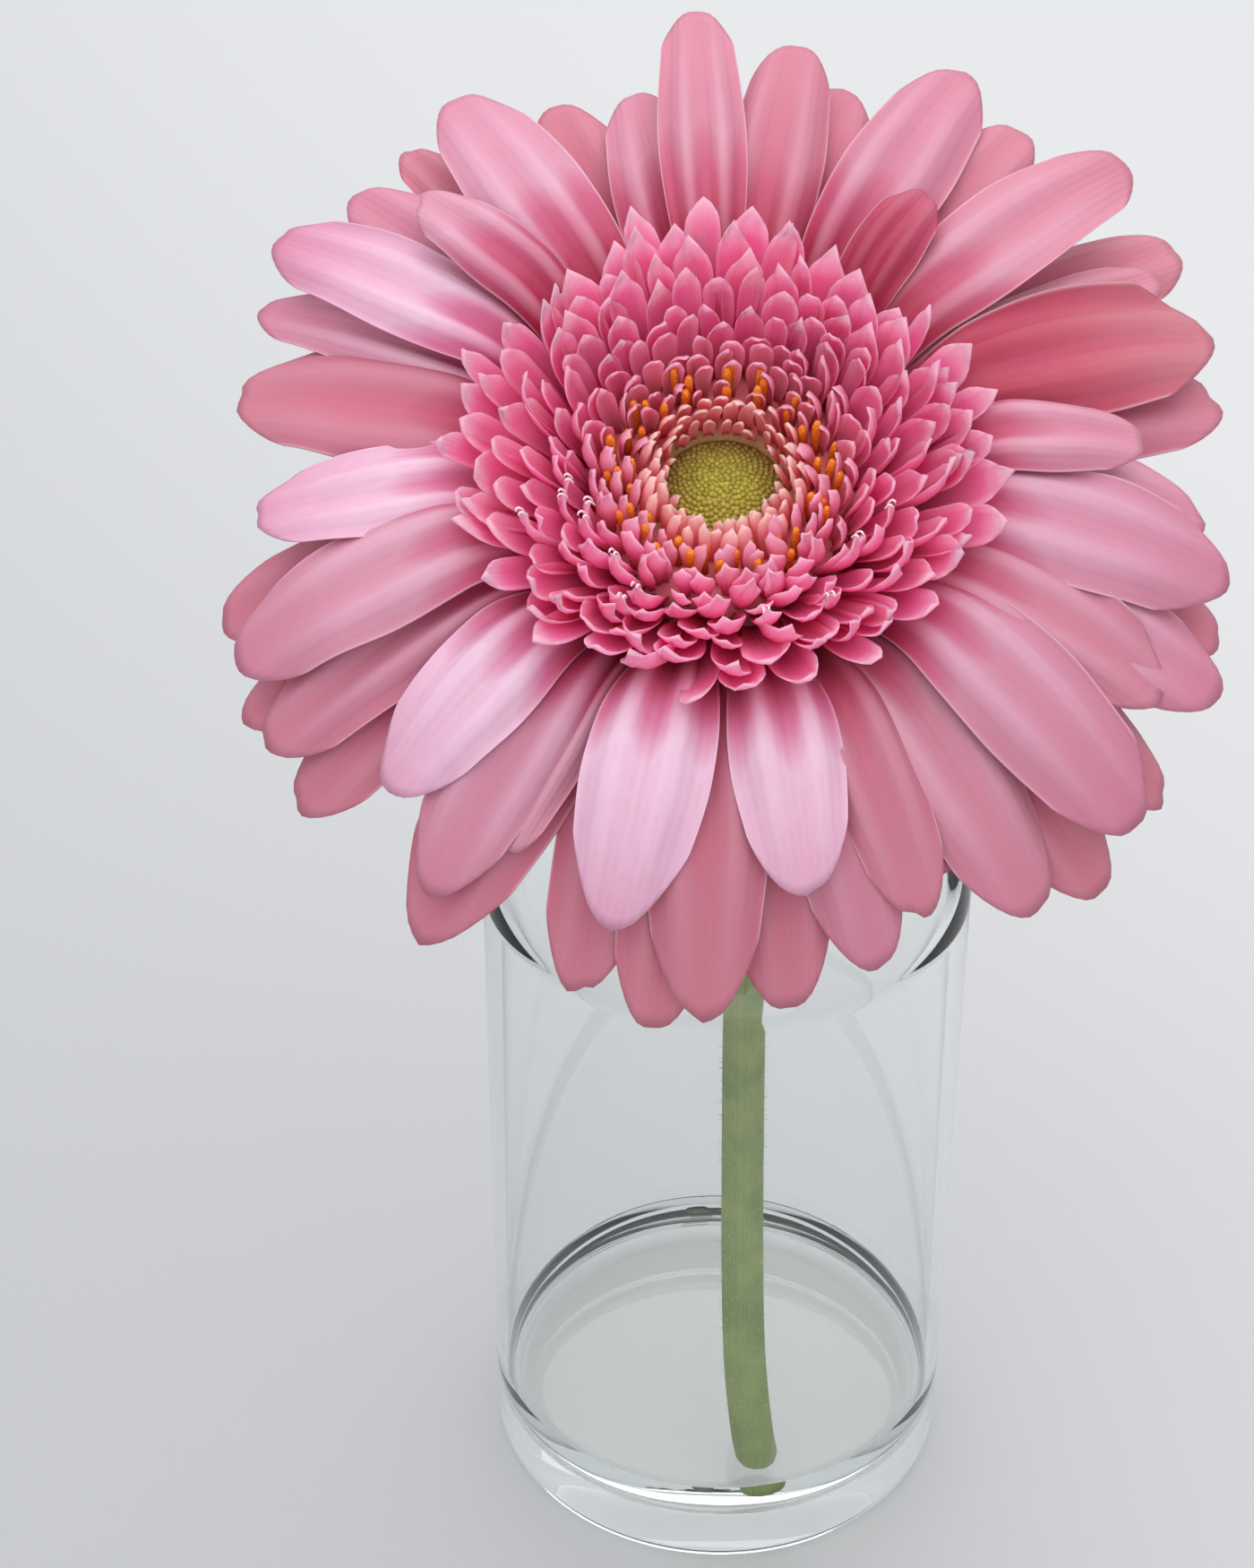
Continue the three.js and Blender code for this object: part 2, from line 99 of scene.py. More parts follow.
# Ray petals, one entry each: turn in degrees, reach and width
FRONT_RAYS = (
    (357, 56.5, 9.5), (27, 57.5, 12), (47, 59.5, 11.5), (68, 56, 14), (101, 53, 12.5),
    (117, 50, 12), (129.5, 54.5, 12.5), (169, 45, 11.5), (193, 48.5, 13), (226, 47, 11.5),
    (252, 53, 12), (266, 48.5, 11), (303, 56, 10.5), (329, 54.5, 12.5),
)
SHORT_RAYS = ((36, 38, 7.5), (85.5, 43.5, 8.5), (316, 44.5, 8.5))
MIDDLE_RAYS = (
    (8.5, 54.5, 10.5), (36, 55.5, 11), (60, 54, 8), (90.5, 50.5, 12), (111, 55, 12),
    (144.5, 53, 12.5), (155.5, 49, 9.5), (164, 51, 11), (183.5, 54, 12.5), (209, 45, 7),
    (217, 51.5, 11.5), (243, 53.5, 11), (284, 53, 14), (297, 54.5, 8), (312, 53, 11),
    (349, 49, 10),
)
BACK_RAYS = (
    (16.5, 52.5, 11), (56, 60, 11), (75, 55, 12), (105, 53.5, 11), (123, 54.5, 10),
    (135, 55, 12), (152, 46, 9), (172, 52, 11.5), (187, 54, 11), (198, 52.5, 11),
    (215, 54.5, 14), (236, 53.5, 11), (247, 54, 9), (258, 53.5, 12), (270, 46, 10),
    (295, 47, 9), (322, 55, 7), (340, 52, 11),
)
# How pale each petal of a layer is, from deep rose to white lilac: partly the petal's own tone and partly
# painted light and sheen on the petals that catch the light
SHORT_PALE = (0.12, 0.4, 0.45)
FRONT_PALE = (0.38, 0.36, 0.38, 0.0, 0.46, 0.36, 0.42, 0.9, 1.0, 0.92, 0.52, 0.88, 0.75, 0.5)
MIDDLE_PALE = (0.26, 0.26, 0.36, 0.55, 0.5, 0.4, 0.25, 0.36, 0.2, 0.42, 0.42, 0.3, 0.2, 0.5, 0.36, 0.36)
BACK_PALE = 0.2
# Painted shade under the florets: how much further out the deep rose of the base reaches on the far side, in
# shares of 40 mm
FAR_SIDE_PAINTED_SHADE = 0.15
RAY_ROOT = 15.0
RAY_ROOT_HEIGHT = -4.6
RAY_CROWN = 6.8
RAY_RISE_LENGTH = 15.0
DIP_START = 22.0
DIP_LENGTH = 31.0
MEAN_DIP = 9.0
DIP_CHANGE = 7.0
RAY_LAYER_STEP = 2.6
RAY_NEIGHBOUR_STEP = 0.9
RAY_THICKNESS = 0.45
RAY_ROWS = 32
RAY_COLUMNS = 17

# Florets, from the inside out: how many, the radius of roots and tips, the tips' height, the width, and how
# far the tip hooks over
FLORET_RINGS = (
    (20, 10.1, 9.9, 5.2, 1.9, 0.5),
    (23, 11.0, 11.4, 5.5, 2.1, 0.6),
    (26, 11.8, 13.0, 5.8, 2.4, 0.7),
    (28, 12.6, 14.9, 6.3, 2.8, 0.9),
    (29, 13.3, 17.0, 6.9, 3.1, 1.1),
    (31, 13.9, 19.3, 7.6, 3.5, 1.3),
    (32, 14.4, 21.8, 8.3, 3.9, 1.5),
    (33, 14.9, 24.4, 8.9, 4.2, 1.6),
    (34, 15.2, 27.0, 9.2, 4.5, 1.7),
    (34, 15.5, 29.3, 9.2, 4.7, 1.7),
)
INNER_RINGS = (
    (25, 6.9, 6.2, 3.2, 1.35, 0.12),
    (27, 7.8, 7.1, 4.7, 1.65, 0.25),
    (24, 8.9, 8.3, 5.4, 1.7, 0.5),
)
# How many, the radius of roots and tips, and the height
ANTHER_RINGS = ((17, 9.5, 9.5, 4.5), (16, 10.5, 10.8, 4.8), (15, 11.3, 11.9, 4.9))
# Where the disc is drawn in: turn in degrees, depth as a share of the florets' reach, and width in degrees
DISC_DENTS = ((40, 0.38, 24), (320, 0.3, 19))
FLORET_THICKNESS = 0.32
ANTHER_RADIUS = 0.5
CURL_COUNT = 12
CURL_RADIUS = 0.13
BUD_COUNT = 420
BUD_RADIUS = 0.34

# Bracts on the cup, in rows from the rim down: how many, where they start and end, and the width
BRACT_ROWS = ((16, 0.25, 1.0, 4.6), (14, 0.1, 0.8, 4.6), (12, 0.0, 0.55, 4.2))
BRACT_THICKNESS = 0.45

# Camera and light
CAMERA_PLACE = (-0.01184, -0.33580, 0.35038)
CAMERA_TILT = math.radians(53.5)
LENS = 82.29
SENSOR_HEIGHT = 36.0
# The floor's colours at the near left and the far right: painted light, darker near left and lighter far
# right
FLOOR_NEAR_LEFT = (0.362, 0.367, 0.378)
FLOOR_FAR_RIGHT = (0.515, 0.517, 0.52)
SKY_COLOUR = (0.93, 0.96, 1.0, 1.0)
SKY_STRENGTH = 0.7
# One entry each: name, place and width in metres, power in watts, and whether it is seen through glass
LAMPS = (
    ("overhead", (0.05, -0.1, 1.2), 1.2, 5.5, False),
    ("behind", (0.15, 0.9, 1.2), 1.6, 12.0, True),
    ("front", (-0.2, -1.5, 1.5), 3.2, 30.0, False),
)


# ---- Shader expressions ----

class Value:
    """A number that varies over a surface. Arithmetic on it adds Math nodes to its finish."""

    def __init__(self, finish, socket):
        self.finish = finish
        self.socket = socket

    def math(self, operation, *others):
        return self.finish.add("Math", dict(enumerate((self, *others))), operation=operation)

    def __add__(self, other):
        return self.math("ADD", other)

    def __mul__(self, other):
        return self.math("MULTIPLY", other)

    def __sub__(self, other):
        return self.math("SUBTRACT", other)

    def __rsub__(self, other):
        return self.finish.add("Math", {0: other, 1: self}, operation="SUBTRACT")

    def __pow__(self, other):
        return self.math("POWER", other)

    def __abs__(self):
        return self.math("ABSOLUTE")

    __radd__ = __add__
    __rmul__ = __mul__

    def sine(self):
        return self.math("SINE")

    def between(self, low, high):
        """0 below low, 1 above high, and a smooth step from one to the other."""
        sockets = {0: self, 1: low, 2: high, 3: 0.0, 4: 1.0}
        return self.finish.add("MapRange", sockets, interpolation_type="SMOOTHSTEP")


class Finish:
    """A material, and one method that adds a node to it."""

    def __init__(self, name):
        self.material = bpy.data.materials.new(name)
        self.material.use_nodes = True
        self.tree = self.material.node_tree
        self.tree.nodes.clear()

    def add(self, kind, sockets=None, output=0, stops=None, **settings):
        """The output of a new node: its settings are set first, then the values or links of its
        sockets, which are named or numbered."""
        node = self.tree.nodes.new("ShaderNode" + kind)
        for name, value in settings.items():
            setattr(node, name, value)
        if stops:
            ramp = node.color_ramp
            while len(ramp.elements) < len(stops):
                ramp.elements.new(0.5)
            for element, (place, colour) in zip(ramp.elements, stops):
                element.position = place
                element.color = (*colour, 1.0)
        for key, value in (sockets or {}).items():
            if isinstance(value, Value):
                self.tree.links.new(value.socket, node.inputs[key])
            else:
                node.inputs[key].default_value = value
        return Value(self, node.outputs[output])

    def mix(self, share, first, second):
        """A blend of two colours."""
        colours = [c if isinstance(c, Value) else (*c, 1.0) for c in (first, second)]
        sockets = {0: share, 6: colours[0], 7: colours[1]}
        return self.add("Mix", sockets, output=2, data_type="RGBA")

    def place(self):
        """Object coordinates in millimetres."""
        at = self.add("TexCoord", output=3)
        return self.add("VectorMath", {0: at, 1: (1 / MM,) * 3}, operation="MULTIPLY")

    def noise(self, place, scale, detail=2.0, roughness=0.5):
        sockets = {"Vector": place, "Scale": scale, "Detail": detail, "Roughness": roughness}
        return self.add("TexNoise", sockets)

    def number(self, name):
        """A number that the mesh holds at each point."""
        return self.add("Attribute", output=2, attribute_name=name)

    def map_axes(self):
        """The two numbers of the piece's own UV map."""
        both = self.add("UVMap", uv_map="UVMap")
        sockets = {0: both}
        return self.add("SeparateXYZ", sockets), self.add("SeparateXYZ", sockets, output=1)

    def bump(self, height, distance):
        return self.add("Bump", {"Height": height, "Distance": distance * MM})

    def shine(self, **sockets):
        """A Principled shader. Its sockets are named with underscores for spaces."""
        named = {key.replace("_", " "): value for key, value in sockets.items()}
        for key, value in named.items():
            if isinstance(value, tuple) and len(value) == 3:
                named[key] = (*value, 1.0)
        return self.add("BsdfPrincipled", named)

    def done(self, surface):
        """The material, with its surface joined to its output."""
        node = self.tree.nodes.new("ShaderNodeOutputMaterial")
        self.tree.links.new(surface.socket, node.inputs["Surface"])
        return self.material


def srgb(code):
    """The linear colour of a hex code."""
    parts = [int(code[i:i + 2], 16) / 255 for i in (0, 2, 4)]
    return tuple(p / 12.92 if p <= 0.04045 else ((p + 0.055) / 1.055) ** 2.4 for p in parts)


# ---- Materials ----

def clear_finish(name, colour, ior):
    """A clear smooth body. It lets the lamps' light straight through to what is behind it, less of it
    where that light grazes the surface."""
    finish = Finish(name)
    body = finish.shine(Base_Color=colour, Roughness=0.0, IOR=ior, Transmission_Weight=1.0)
    straight = finish.add("BsdfTransparent", {"Color": STRAIGHT_TINT})
    from_lamp = finish.add("LightPath", output=1)
    grazing = finish.add("LayerWeight", {"Blend": 0.5}, output=1) ** GRAZING_POWER
    return finish.done(finish.add("MixShader", {0: from_lamp * (1.0 - grazing), 1: body, 2: straight}))


def open_finish():
    """Nothing to see: where the water touches the wet glass, which bends the light there already."""
    finish = Finish("water_against_glass")
    return finish.done(finish.add("BsdfTransparent", {"Color": (1.0, 1.0, 1.0, 1.0)}))


def sheet_of(finish, colour, glows, lightness, roughness, normal, share):
    """A thin petal: a satin surface, with a share of the light coming through it. That light has one of
    two plain colours, or a blend of both by the lightness, which varies over the surface."""
    front = finish.shine(
        Base_Color=colour, Roughness=roughness, Normal=normal, Specular_IOR_Level=0.24,
        Sheen_Weight=0.06, Sheen_Roughness=0.35,
    )
    deep, light = (
        finish.add("BsdfTranslucent", {"Color": (*srgb(glow), 1.0), "Normal": normal}) for glow in glows)
    through = finish.add("MixShader", {0: lightness, 1: deep, 2: light})
    return finish.add("MixShader", {0: share, 1: front, 2: through})


def petal_finish():
    """Ray petals: deep rose at the base and lighter with distance, by how pale the petal is. The deep base
    is partly the petal's own colour and partly painted shade under the florets, and the paleness partly
    the petal's own tone and partly painted light and sheen. Ridges carry a painted highlight and valleys
    a painted shade, with faint fine veins and a thin pale rim."""
    finish = Finish("petal_pink")
    across = finish.map_axes()[0]
    place = finish.place()
    tint = finish.number("tint")
    pale = finish.number("pale")
    under = finish.number("under")
    ridge = finish.number("ridge")
    cloud = finish.noise(place, 0.08, 2.0)
    out = finish.number("out") + (cloud - 0.5) * 0.16 + ridge * 0.05
    deep = finish.add("ValToRGB", {0: out}, stops=(
        (0.15, srgb("98163A")), (0.42, srgb("AC2C4C")), (0.62, srgb("B85064")), (0.85, srgb("C47684")),
        (1.0, srgb("CA8490")),
    ))
    light = finish.add("ValToRGB", {0: out}, stops=(
        (0.15, srgb("B42C58")), (0.32, srgb("DA7CA8")), (0.45, srgb("F4D4EE")), (0.68, srgb("EAC2DE")),
        (0.95, srgb("D086AA")),
    ))
    # Painted light: pale blends in the light, sheen-coloured ramp as well as the petal's own paler tone
    colour = finish.mix(pale, deep, light)
    # Painted shade: the valleys between the ribs are darkened, less so on pale petals
    painted_valley_shade = (0.0 - ridge).between(-0.3, 1.0) * (1.0 - pale * 0.75)
    colour = finish.mix(painted_valley_shade * 0.3, colour, srgb("CC5478"))
    # Painted highlight: the rib crests are lightened on pale petals
    colour = finish.mix(ridge.between(0.0, 1.0) * pale * 0.38, colour, srgb("F8DFF2"))
    veins = (across * 75.0 + cloud * 3.0).sine() * 0.5 + 0.5
    patches = finish.noise(place, 0.5, 2.0).between(0.35, 0.7)
    colour = finish.mix(veins * patches * 0.12, colour, srgb("D0607F"))
    colour = finish.mix(tint * 0.16, colour, srgb("D8868A"))
    edge = abs(across - 0.5) * 2.0
    colour = finish.mix(edge.between(0.95, 1.0) * 0.4, colour, srgb("F8DCE8"))
    colour = finish.mix(under * 0.6, colour, srgb("E4AFC0"))
    lightness = (pale * 0.75 + 0.25) * out.between(0.1, 0.6)
    normal = finish.bump(veins, 0.02)
    return finish.done(sheet_of(finish, colour, ("DC4C68", "F6BEDC"), lightness, 0.42, normal, 0.24))


def floret_finish():
    """Trans florets: deep pink inside, lighter towards the tip, with soft pale lips."""
    finish = Finish("floret_pink")
    across, along = finish.map_axes()
    place = finish.place()
    tint = finish.number("tint")
    under = finish.number("under")
    cloud = finish.noise(place, 0.35, 3.0)
    reach = along + (cloud - 0.5) * 0.25
    colour = finish.add("ValToRGB", {0: reach}, stops=(
        (0.05, srgb("F25C98")), (0.4, srgb("FB78B8")), (0.7, srgb("FE98D0")), (1.0, srgb("FFB8E0")),
    ))
    colour = finish.mix(tint * 0.4, colour, srgb("FFA8BE"))
    colour = finish.mix(finish.number("heart") * 0.85, colour, srgb("FFCAC8"))
    edge = abs(across - 0.5) * 2.0
    rim = edge.between(0.35, 1.0) * reach.between(0.4, 0.9) * 0.62
    tip = reach.between(0.74, 0.98) * 0.9
    colour = finish.mix(rim, colour, srgb("FFDCEA"))
    colour = finish.mix(tip, colour, srgb("FFE6F0"))
    colour = finish.mix(under * 0.65, colour, srgb("FFC4E2"))
    veins = (across * 40.0).sine() * 0.5 + 0.5
    normal = finish.bump(veins * 0.5 + cloud, 0.05)
    return finish.done(sheet_of(finish, colour, ("FD8EC4", "FFC8E0"), rim + tip, 0.42, normal, 0.6))


def salmon_finish():
    """Inner florets: salmon pink with creamy green tips."""
    finish = Finish("floret_salmon")
    along = finish.map_axes()[1]
    place = finish.place()
    tint = finish.number("tint")
    cloud = finish.noise(place, 0.5, 2.0)
    colour = finish.add("ValToRGB", {0: along + (cloud - 0.5) * 0.2}, stops=(
        (0.05, srgb("FF969A")), (0.4, srgb("FFB6BA")), (0.75, srgb("FFD2D6")), (1.0, srgb("FFECE8")),
    ))
    colour = finish.mix(tint * 0.3, colour, srgb("E88BA8"))
    tip = along.between(0.8, 1.0)
    colour = finish.mix(tip * 0.6, colour, srgb("FFF0E6"))
    normal = finish.bump(cloud, 0.08)
    lightness = along.between(0.5, 1.0)
    return finish.done(sheet_of(finish, colour, ("FFA9AD", "FFCFCB"), lightness, 0.5, normal, 0.54))


def anther_finish():
    """Anther tubes: orange with dusty yellow pollen."""
    finish = Finish("anther_orange")
    place = finish.place()
    dust = finish.noise(place, 3.5, 3.0)
    along = finish.map_axes()[1]
    colour = finish.mix(dust.between(0.45, 0.7), srgb("D9680F"), srgb("EE9A1C"))
    colour = finish.mix(1.0 - along.between(0.0, 0.45), colour, srgb("A8391A"))
    normal = finish.bump(dust, 0.12)
    return finish.done(finish.shine(Base_Color=colour, Roughness=0.7, Normal=normal))


def eye_finish():
    """Closed buds of the eye: yellow green, each with its own tone, with a painted brown shade towards the
    edge.
    """
    finish = Finish("eye_yellow_green")
    place = finish.place()
    tint = finish.number("tint")
    grain = finish.noise(place, 1.6, 3.0)
    colour = finish.mix(tint, srgb("94882A"), srgb("B8AC44"))
    colour = finish.mix(grain.between(0.45, 0.75) * 0.5, colour, srgb("90822C"))
    # Painted shade: brown towards the eye's edge, under the leaning florets
    colour = finish.mix(finish.number("rim") * 0.6, colour, srgb("94703C"))
    normal = finish.bump(grain, 0.15)
    return finish.done(finish.shine(Base_Color=colour, Roughness=0.65, Normal=normal))


def green_finish(name, low, high, vein_count):
    """Stem, cup and bracts: matt green with fine lengthwise lines and paler patches."""
    finish = Finish(name)
    across, along = finish.map_axes()
    place = finish.place()
    cloud = finish.noise(place, 0.15, 4.0)
    lines = (across * (2 * math.pi * vein_count)).sine() * 0.5 + 0.5
    colour = finish.mix(cloud.between(0.3, 0.7), srgb(low), srgb(high))
    colour = finish.mix(lines * 0.2, colour, srgb("A8B27A"))
    colour = finish.mix((1.0 - along.between(0.0, 0.3)) * 0.4, colour, srgb("627A28"))
    speck = finish.noise(place, 2.2, 2.0)
    normal = finish.bump(lines * 0.5 + speck, 0.08)
    return finish.done(finish.shine(Base_Color=colour, Roughness=0.6, Normal=normal))


def plain_finish(name, colour, roughness, change):
    """A matt surface whose shade changes a little from place to place."""
    finish = Finish(name)
    cloud = finish.noise(finish.place(), 0.4, 3.0)
    shade = finish.mix(cloud, colour, tuple(c * change for c in colour))
    return finish.done(finish.shine(Base_Color=shade, Roughness=roughness))


# ---- Meshes ----

def grid_quads(rows, columns):
    """Corner numbers of a grid's faces, which point up where columns run right and rows run away."""
    at = np.arange(rows * columns).reshape(rows, columns)
    corners = (at[:-1, :-1], at[:-1, 1:], at[1:, 1:], at[1:, :-1])
    return np.stack(corners, -1).reshape(-1, 4)


def many_grids(count, rows, columns):
    """Corner numbers of the faces of many grids of one size, whose points follow on from each other."""
    starts = np.arange(count)[:, None, None] * (rows * columns)
    return (grid_quads(rows, columns)[None] + starts).reshape(-1, 4)


def shells(upper, lower):
    """Points and faces of closed thin bodies from their upper and lower faces, arrays of (body, row,
    column, xyz): both faces, and a wall round their edge."""
    count, rows, columns = upper.shape[:3]
    size = rows * columns
    at = np.arange(size).reshape(rows, columns)
    top = grid_quads(rows, columns)
    ring = np.concatenate([at[0, :-1], at[:-1, -1], at[-1, :0:-1], at[:0:-1, 0]])
    after = np.roll(ring, -1)
    wall = np.stack([after, ring, ring + size, after + size], -1)
    faces = np.concatenate([top, size + top[:, ::-1], wall])
    points = np.stack([upper, lower], 1).reshape(-1, 3)
    starts = np.arange(count)[:, None, None] * 2 * size
    return points, (faces[None] + starts).reshape(-1, 4)


def joined(meshes):
    """Several (points, faces) as one."""
    starts = np.cumsum([0] + [len(points) for points, _ in meshes[:-1]])
    points = np.concatenate([points for points, _ in meshes])
    return points, np.concatenate([faces + start for (_, faces), start in zip(meshes, starts)])


def make_piece(name, points, faces, finishes, replaces=(), uv=None, numbers=None, kinds=None):
    """A smooth mesh of the points, in millimetres, and four-cornered faces, welded where points meet,
    that rides on the part's body and stands for the CAD nodes that it replaces. kinds gives each face's
    place in a list of finishes."""
    mesh = bpy.data.meshes.new(name)
    mesh.vertices.add(len(points))
    mesh.vertices.foreach_set("co", (points * MM).astype(np.float32).ravel())
    mesh.loops.add(faces.size)
    mesh.loops.foreach_set("vertex_index", faces.astype(np.int32).ravel())
    mesh.polygons.add(len(faces))
    mesh.polygons.foreach_set("loop_start", np.arange(0, faces.size, 4, dtype=np.int32))
    if kinds is not None:
        mesh.polygons.foreach_set("material_index", kinds.astype(np.int32))
    mesh.update(calc_edges=True)
    if uv is not None:
        layer = mesh.uv_layers.new(name="UVMap")
        layer.data.foreach_set("uv", uv[faces.ravel()].astype(np.float32).ravel())
    for key, values in (numbers or {}).items():
        attribute = mesh.attributes.new(key, "FLOAT", "POINT")
        attribute.data.foreach_set("value", values.astype(np.float32).ravel())
    weld(mesh)
    mesh.shade_smooth()
    for finish in finishes if isinstance(finishes, list) else [finishes]:
        mesh.materials.append(finish)
    piece = bpy.data.objects.new(name, mesh)
    bpy.context.scene.collection.objects.link(piece)
    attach(piece, "root")
    if replaces:
        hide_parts(*replaces)


def weld(mesh):
    """Joins points that lie together, which closes seams and poles."""
    body = bmesh.new()
    body.from_mesh(mesh)
    bmesh.ops.remove_doubles(body, verts=body.verts, dist=1e-7)
    body.to_mesh(mesh)
    body.free()


def arc(centre_r, centre_z, radius, start, end, steps):
    """Points (radius, height) on an arc round a centre, from one angle to another in degrees."""
    angle = np.radians(np.linspace(start, end, steps + 1))
    return np.stack([centre_r + radius * np.cos(angle), centre_z + radius * np.sin(angle)], -1)


def lathe(outline, sides):
    """Points, faces and map of a body turned about +Z from an outline (point, radius and height) that
    runs anticlockwise where the radius points right: x = r sin t, y = r cos t."""
    turn = np.linspace(0, 2 * np.pi, sides + 1)[None, :]
    radius, height = outline[:, :1], outline[:, 1:]
    points = np.stack([radius * np.sin(turn), radius * np.cos(turn), height + 0 * turn], -1)
    rows = len(outline)
    faces = grid_quads(rows, sides + 1)[:, ::-1]
    share = np.linspace(0, 1, rows)[:, None] + 0 * turn
    uv = np.stack([turn / (2 * np.pi) + 0 * share, share], -1)
    return points.reshape(-1, 3), faces, uv.reshape(-1, 2)


def in_world(local):
    """Points of the bloom's frame, tipped forwards by the bloom's lean and moved to the eye."""
    x, y, z = np.moveaxis(local, -1, 0)
    c, s = math.cos(BLOOM_LEAN), math.sin(BLOOM_LEAN)
    return np.stack([x, c * y - s * z, s * y + c * z], -1) + EYE_PLACE


def blade_points(turn, radius, height, slope, side, lift):
    """Points of blades in the bloom's frame. The middle line stands out at a turn from the bloom's axis
    with a slope of height to radius, side runs across it, and lift stands square to its face:
    r = radius - lift sin a and h = height + lift cos a, where a is the angle of the slope."""
    length = np.sqrt(1 + slope ** 2)
    r = radius - lift * slope / length
    h = height + lift / length
    x = r * np.sin(turn) + side * np.cos(turn)
    y = r * np.cos(turn) - side * np.sin(turn)
    return np.stack([x, y, h + 0 * x], -1)


def smooth(x, low, high):
    """0 below low, 1 above high, and 3t^2 - 2t^3 between."""
    t = np.clip((x - low) / (high - low), 0, 1)
    return t * t * (3 - 2 * t)


# ---- Bottle and water ----

def shoulder(inset, neck_inset, steps):
    """A half cosine wave from the body's radius to the neck's, inset by the wall, which thins upwards."""
    share = np.linspace(0, 1, steps + 1)
    fall = (1 - np.cos(np.pi * share)) / 2
    radius = BODY_RADIUS + (NECK_RADIUS - BODY_RADIUS) * fall - inset - (neck_inset - inset) * fall
    return np.stack([radius, BODY_HEIGHT + SHOULDER_HEIGHT * share], -1)


def make_bottle():
    """The bottle is one turned body: a rounded heel, a straight body, a shoulder of a half cosine, a neck
    with a round lip, and an inside that follows it a wall's thickness away, down to a thick floor. The
    underside is a shallow hollow, h = punt cos^2(pi/2 r / R), so that the bottle stands on a ring."""
    inner = BODY_RADIUS - WALL
    lip_round = (LIP_RADIUS - NECK_RADIUS + NECK_WALL) / 2
    lip_middle = LIP_RADIUS - lip_round
    stand = BODY_RADIUS - HEEL_RADIUS - 1.5
    share = np.linspace(0, 1, 12)
    outline = np.concatenate([
        np.stack([stand * share, PUNT * np.cos(np.pi / 2 * share) ** 2], -1),
        arc(BODY_RADIUS - HEEL_RADIUS, HEEL_RADIUS, HEEL_RADIUS, -90, 0, 12),
        shoulder(0, 0, 28),
        [[NECK_RADIUS, NECK_TOP - 1.5]],
        arc(LIP_RADIUS - 0.75, NECK_TOP, 0.75, -90, 0, 5),
        arc(lip_middle, BOTTLE_HEIGHT - lip_round, lip_round, 0, 180, 16),
        shoulder(WALL, NECK_WALL, 28)[::-1],
        [[inner, WATER_LEVEL + MENISCUS]],
        arc(inner - INNER_HEEL_RADIUS, FLOOR + INNER_HEEL_RADIUS, INNER_HEEL_RADIUS, 0, -90, 12),
        [[0, FLOOR]],
    ])
    points, faces, uv = lathe(outline, GLASS_SIDES)
    row = np.arange(len(faces)) // GLASS_SIDES
    kinds = (row >= len(outline) - 1 - WET_ROWS).astype(int)
    finishes = [
        clear_finish("clear_glass", GLASS_TINT, GLASS_IOR),
        clear_finish("wet_glass", GLASS_TINT, GLASS_IOR / WATER_IOR),
    ]
    make_piece("glass_bottle", points, faces, finishes, ["bottle"], uv, kinds=kinds)


def make_water():
    """The water fills the inside to its level. Its top is flat, with a rim that climbs the glass by
    e^(-distance / 1.1 mm)."""
    radius = BODY_RADIUS - WALL - WATER_INSET
    low = FLOOR + WATER_INSET
    top = radius - np.array([0, 0.15, 0.35, 0.6, 1.0, 1.6, 2.4, 3.5, 5.0, 8.0, radius])
    climb = WATER_LEVEL + MENISCUS * np.exp(-(radius - top) / MENISCUS_LENGTH)
    outline = np.concatenate([
        [[0, low]],
        arc(radius - INNER_HEEL_RADIUS, low + INNER_HEEL_RADIUS, INNER_HEEL_RADIUS, -90, 0, 12),
        np.stack([top, climb], -1),
    ])
    points, faces, uv = lathe(outline, GLASS_SIDES)
    top_rows = len(top) - 1
    row = np.arange(len(faces)) // GLASS_SIDES
    kinds = (row < len(outline) - 1 - top_rows).astype(int)
    finishes = [clear_finish("still_water", WATER_TINT, WATER_IOR), open_finish()]
    make_piece("shallow_water", points, faces, finishes, ["water"], uv, kinds=kinds)


# ---- Stem, cup and bracts ----

def spline(places, steps):
    """Points on a centripetal Catmull-Rom curve through the places: each stretch is a cubic whose
    tangents come from its neighbours, weighed by the root of their distance."""
    p = np.array(places, float)
    p = np.concatenate([[2 * p[0] - p[1]], p, [2 * p[-1] - p[-2]]])
    knots = np.sqrt(np.linalg.norm(np.diff(p, axis=0), axis=1))
    t = np.linspace(0, 1, steps + 1)[:, None]
    stretches = []
    for i in range(1, len(p) - 2):
        d0, d1, d2 = knots[i - 1:i + 2]
        a, b, c, d = p[i - 1:i + 3]
        m1 = ((b - a) / d0 - (c - a) / (d0 + d1) + (c - b) / d1) * d1
        m2 = ((c - b) / d1 - (d - b) / (d1 + d2) + (d - c) / d2) * d1
        curve = b + m1 * t + (3 * (c - b) - 2 * m1 - m2) * t ** 2 + (2 * (b - c) + m1 + m2) * t ** 3
        stretches.append(curve[:-1] if i < len(p) - 3 else curve)
    return np.concatenate(stretches)


def stem_line():
    """The scape's middle line from its foot in the water to the cup, at even steps of its length."""
    axis = np.array([0, -math.sin(BLOOM_LEAN), math.cos(BLOOM_LEAN)])
    top = EYE_PLACE + axis * (CUP_FOOT + 1)
    below = EYE_PLACE + axis * (CUP_FOOT - 3)
    curve = spline([STEM_FOOT, STEM_LOW, STEM_AT_LIP, STEM_ABOVE_LIP, below, top], 22)
    gone = np.concatenate([[0], np.cumsum(np.linalg.norm(np.diff(curve, axis=0), axis=1))])
    even = np.linspace(0, gone[-1], 111)
    return np.stack([np.interp(even, gone, column) for column in curve.T], -1)


def tube_frame(line):
    """Two directions square to a nearly upright line at each of its points."""
    along = np.gradient(line, axis=0)
    along /= np.linalg.norm(along, axis=1, keepdims=True)
    right = np.array([1.0, 0, 0]) - along * along[:, :1]
    right /= np.linalg.norm(right, axis=1, keepdims=True)
    return right, np.cross(along, right)


